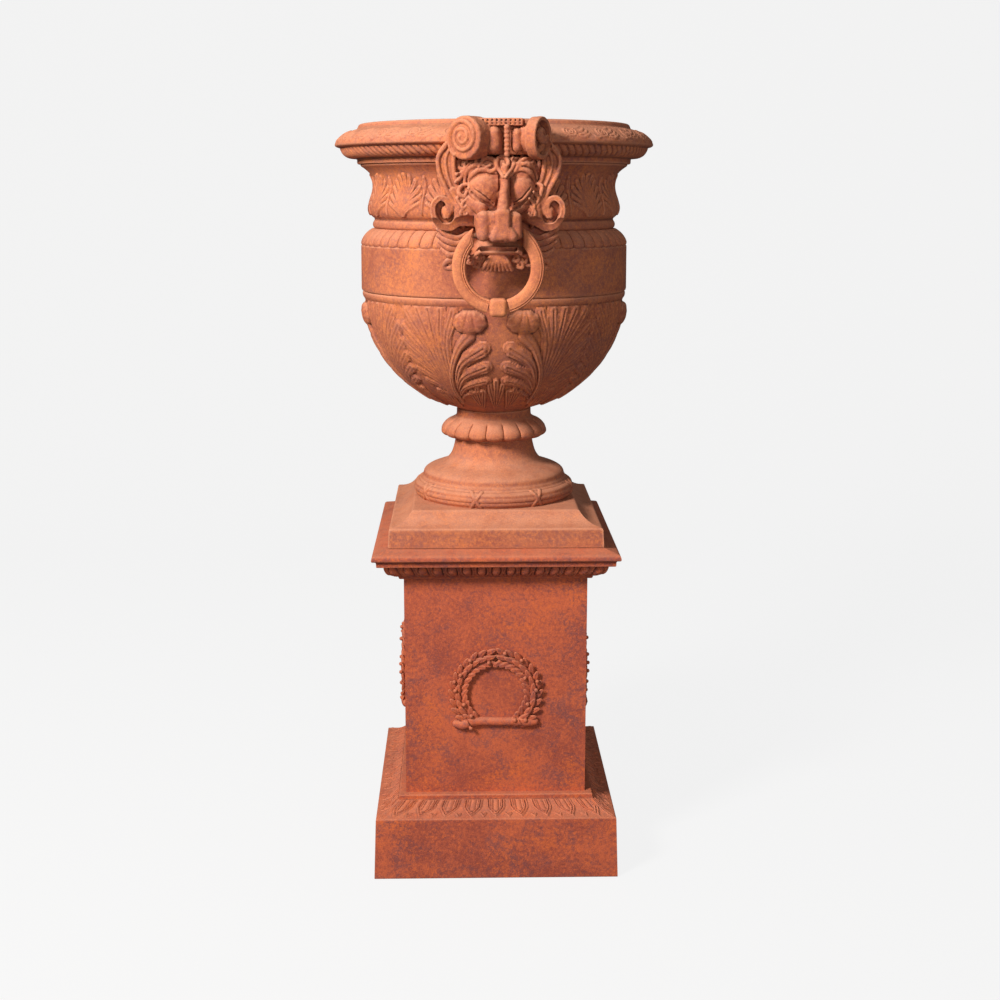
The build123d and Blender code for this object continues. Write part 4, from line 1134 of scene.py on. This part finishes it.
def makeWreaths():
    face, ring, middle = wreathCast["face"], wreathCast["ring"], wreathCast["middle"]
    clay = newSculpt((-108, face - 19, middle - 92), (108, face + 2, middle + 108), 1.15)
    sweep = np.radians(np.linspace(-138, 138, 40))
    bed = [(ring * math.sin(t), face - 1, middle + ring * math.cos(t)) for t in sweep]
    stroke(clay, bed, 5.5, 1)
    for side in (-1, 1):
        for row in range(wreathCast["rows"]):
            t = 140 - 138 * row / (wreathCast["rows"] - 0.6)
            for over, lean in ((12.5, 30), (-11.5, -34), (1.0, 2)):
                a = math.radians(t + (4.5 if 0 < over < 5 else 0))
                place = ((ring + over) * math.sin(a) * side, middle + (ring + over) * math.cos(a))
                forward = math.degrees(math.atan2(math.sin(a), -math.cos(a)))
                forward = forward - lean + wreathSeed.uniform(-7, 7)
                degrees = forward if side > 0 else 180 - forward
                size = wreathCast["leaf"] * wreathSeed.uniform(0.9, 1.12)
                laurelLeaf(clay, place, degrees, size, wreathCast["leafHalf"], 5.5 if abs(over) > 5 else 8.5)
            if row % 2 == side % 2 or row % 3 == 0:
                a = math.radians(t + 5)
                over = wreathSeed.choice((-8, 7, 13))
                spot = ((ring + over) * math.sin(a) * side, face - 13, middle + (ring + over) * math.cos(a))
                ball(clay, spot, 4.4, 0.2)
    foot = middle - 65
    bar = [(-84, 3, -4), (-70, 4, -6), (-52, 4, 1), (-20, 4, 2),
           (20, 4, 1), (52, 4, 2), (70, 4, -1), (84, 3, 0)]
    bar = [(x, face - out, foot + z) for x, out, z in bar]
    stroke(clay, bar, (8.5, 11.5, 9.5, 9, 9.5, 9, 10.5, 8), 2)
    for place in (-56, -18, 20, 54):
        tie = [(place - 6, face - 12, foot + 11), (place, face - 14, foot), (place + 6, face - 11, foot - 9)]
        stroke(clay, tie, 1.6, 0.8, True)
    part, x, y, z = window(clay, (-120, face - 30, 200), (120, face + 10, 600))
    cut(part, (face - 0.2) - y + 0 * x + 0 * z, 0.1)
    for k, place in enumerate(("front", "right", "back", "left")):
        piece = skin("wreath" + place.title(), clay)
        piece.data.transform(Matrix.Rotation(k * math.pi / 2, 4, "Z"))
        settle(piece, pedestalIron, "pedestal_iron", "wreath_" + place)


print("sculpted pieces:")
makeMasks()
makeRings()
makeWreaths()


stageTone = {"paper": 0.05, "glow": 0.12, "glowSeen": 0.865, "air": 0.22, "airSeen": 0.88}


def grey(tone):
    return (tone, tone, tone)


def makeStage():
    # a floor that sweeps up into a backdrop
    profile = smoothLine([(-6.0, 0.0), (2.5, 0.0)], 9.0).tolist()
    profile += [(2.5 + 2.0 * math.sin(t), 2.0 - 2.0 * math.cos(t)) for t in np.linspace(0.1, math.pi / 2, 14)]
    profile += [(4.5, 9.0)]
    points = np.array([(x, y, z) for y, z in profile for x in (-9.0, 9.0)])
    stage = meshFromFaces("studioSweep", points, gridFaces(len(profile), 2, False, False)[:, ::-1])
    paper = bpy.data.materials.new("palePaper")
    paper.use_nodes = True
    tree = paper.node_tree
    shader = tree.nodes["Principled BSDF"]
    shader.inputs["Base Color"].default_value = (*grey(stageTone["paper"]), 1)
    shader.inputs["Roughness"].default_value = 1.0
    shader.inputs["Specular IOR Level"].default_value = 0.0
    shader.inputs["Emission Strength"].default_value = 1.0
    seen = tree.nodes.new("ShaderNodeLightPath").outputs["Is Camera Ray"]
    glow = mixColour(tree, seen, grey(stageTone["glow"]), grey(stageTone["glowSeen"]))
    tree.links.new(glow, shader.inputs["Emission Color"])
    stage.data.materials.append(paper)


softboxes = {
    "keySoftbox": {
        "place": (-2.3, -2.5, 3.0), "target": (0, 0, 1.1), "size": (0.8, 1.0),
        "watts": 235, "colour": (1.0, 0.97, 0.93),
    },
    "fillSoftbox": {
        "place": (0.7, -3.6, 1.3), "target": (0, 0, 0.9), "size": (1.6, 1.6),
        "watts": 26, "colour": (1.0, 0.98, 0.96),
    },
}


def makeLight():
    for name, box in softboxes.items():
        light = bpy.data.lights.new(name, "AREA")
        light.shape = "RECTANGLE"
        light.size, light.size_y = box["size"]
        light.energy = box["watts"]
        light.color = box["colour"]
        lamp = bpy.data.objects.new(name, light)
        lamp.location = box["place"]
        aim = Vector(box["target"]) - Vector(box["place"])
        lamp.rotation_euler = aim.to_track_quat("-Z", "Y").to_euler()
        bpy.context.scene.collection.objects.link(lamp)
    world = bpy.data.worlds.new("studioAir")
    bpy.context.scene.world = world
    world.use_nodes = True
    air = world.node_tree.nodes["Background"]
    seen = world.node_tree.nodes.new("ShaderNodeLightPath").outputs["Is Camera Ray"]
    sky = mixColour(world.node_tree, seen, grey(stageTone["air"]), grey(stageTone["airSeen"]))
    world.node_tree.links.new(sky, air.inputs["Color"])
    air.inputs["Strength"].default_value = 1.0


cameraView = {
    "place": (-0.0677, -2.965, 1.4385), "down": 10.69, "right": 1.15,  # metres, degrees
    "lens": 49.5, "shiftRight": 0.01, "shiftUp": -0.05,
}


def makeCamera():
    data = bpy.data.cameras.new("studioCamera")
    data.lens = cameraView["lens"]
    data.sensor_width = 36.0
    data.shift_x = cameraView["shiftRight"]
    data.shift_y = cameraView["shiftUp"]
    camera = bpy.data.objects.new("studioCamera", data)
    camera.location = cameraView["place"]
    camera.rotation_euler = (math.radians(90 - cameraView["down"]), 0, -math.radians(cameraView["right"]))
    bpy.context.scene.collection.objects.link(camera)
    bpy.context.scene.camera = camera


makeStage()
makeLight()
makeCamera()
bpy.context.scene.view_settings.view_transform = "Standard"
print("stage, lights and camera set")
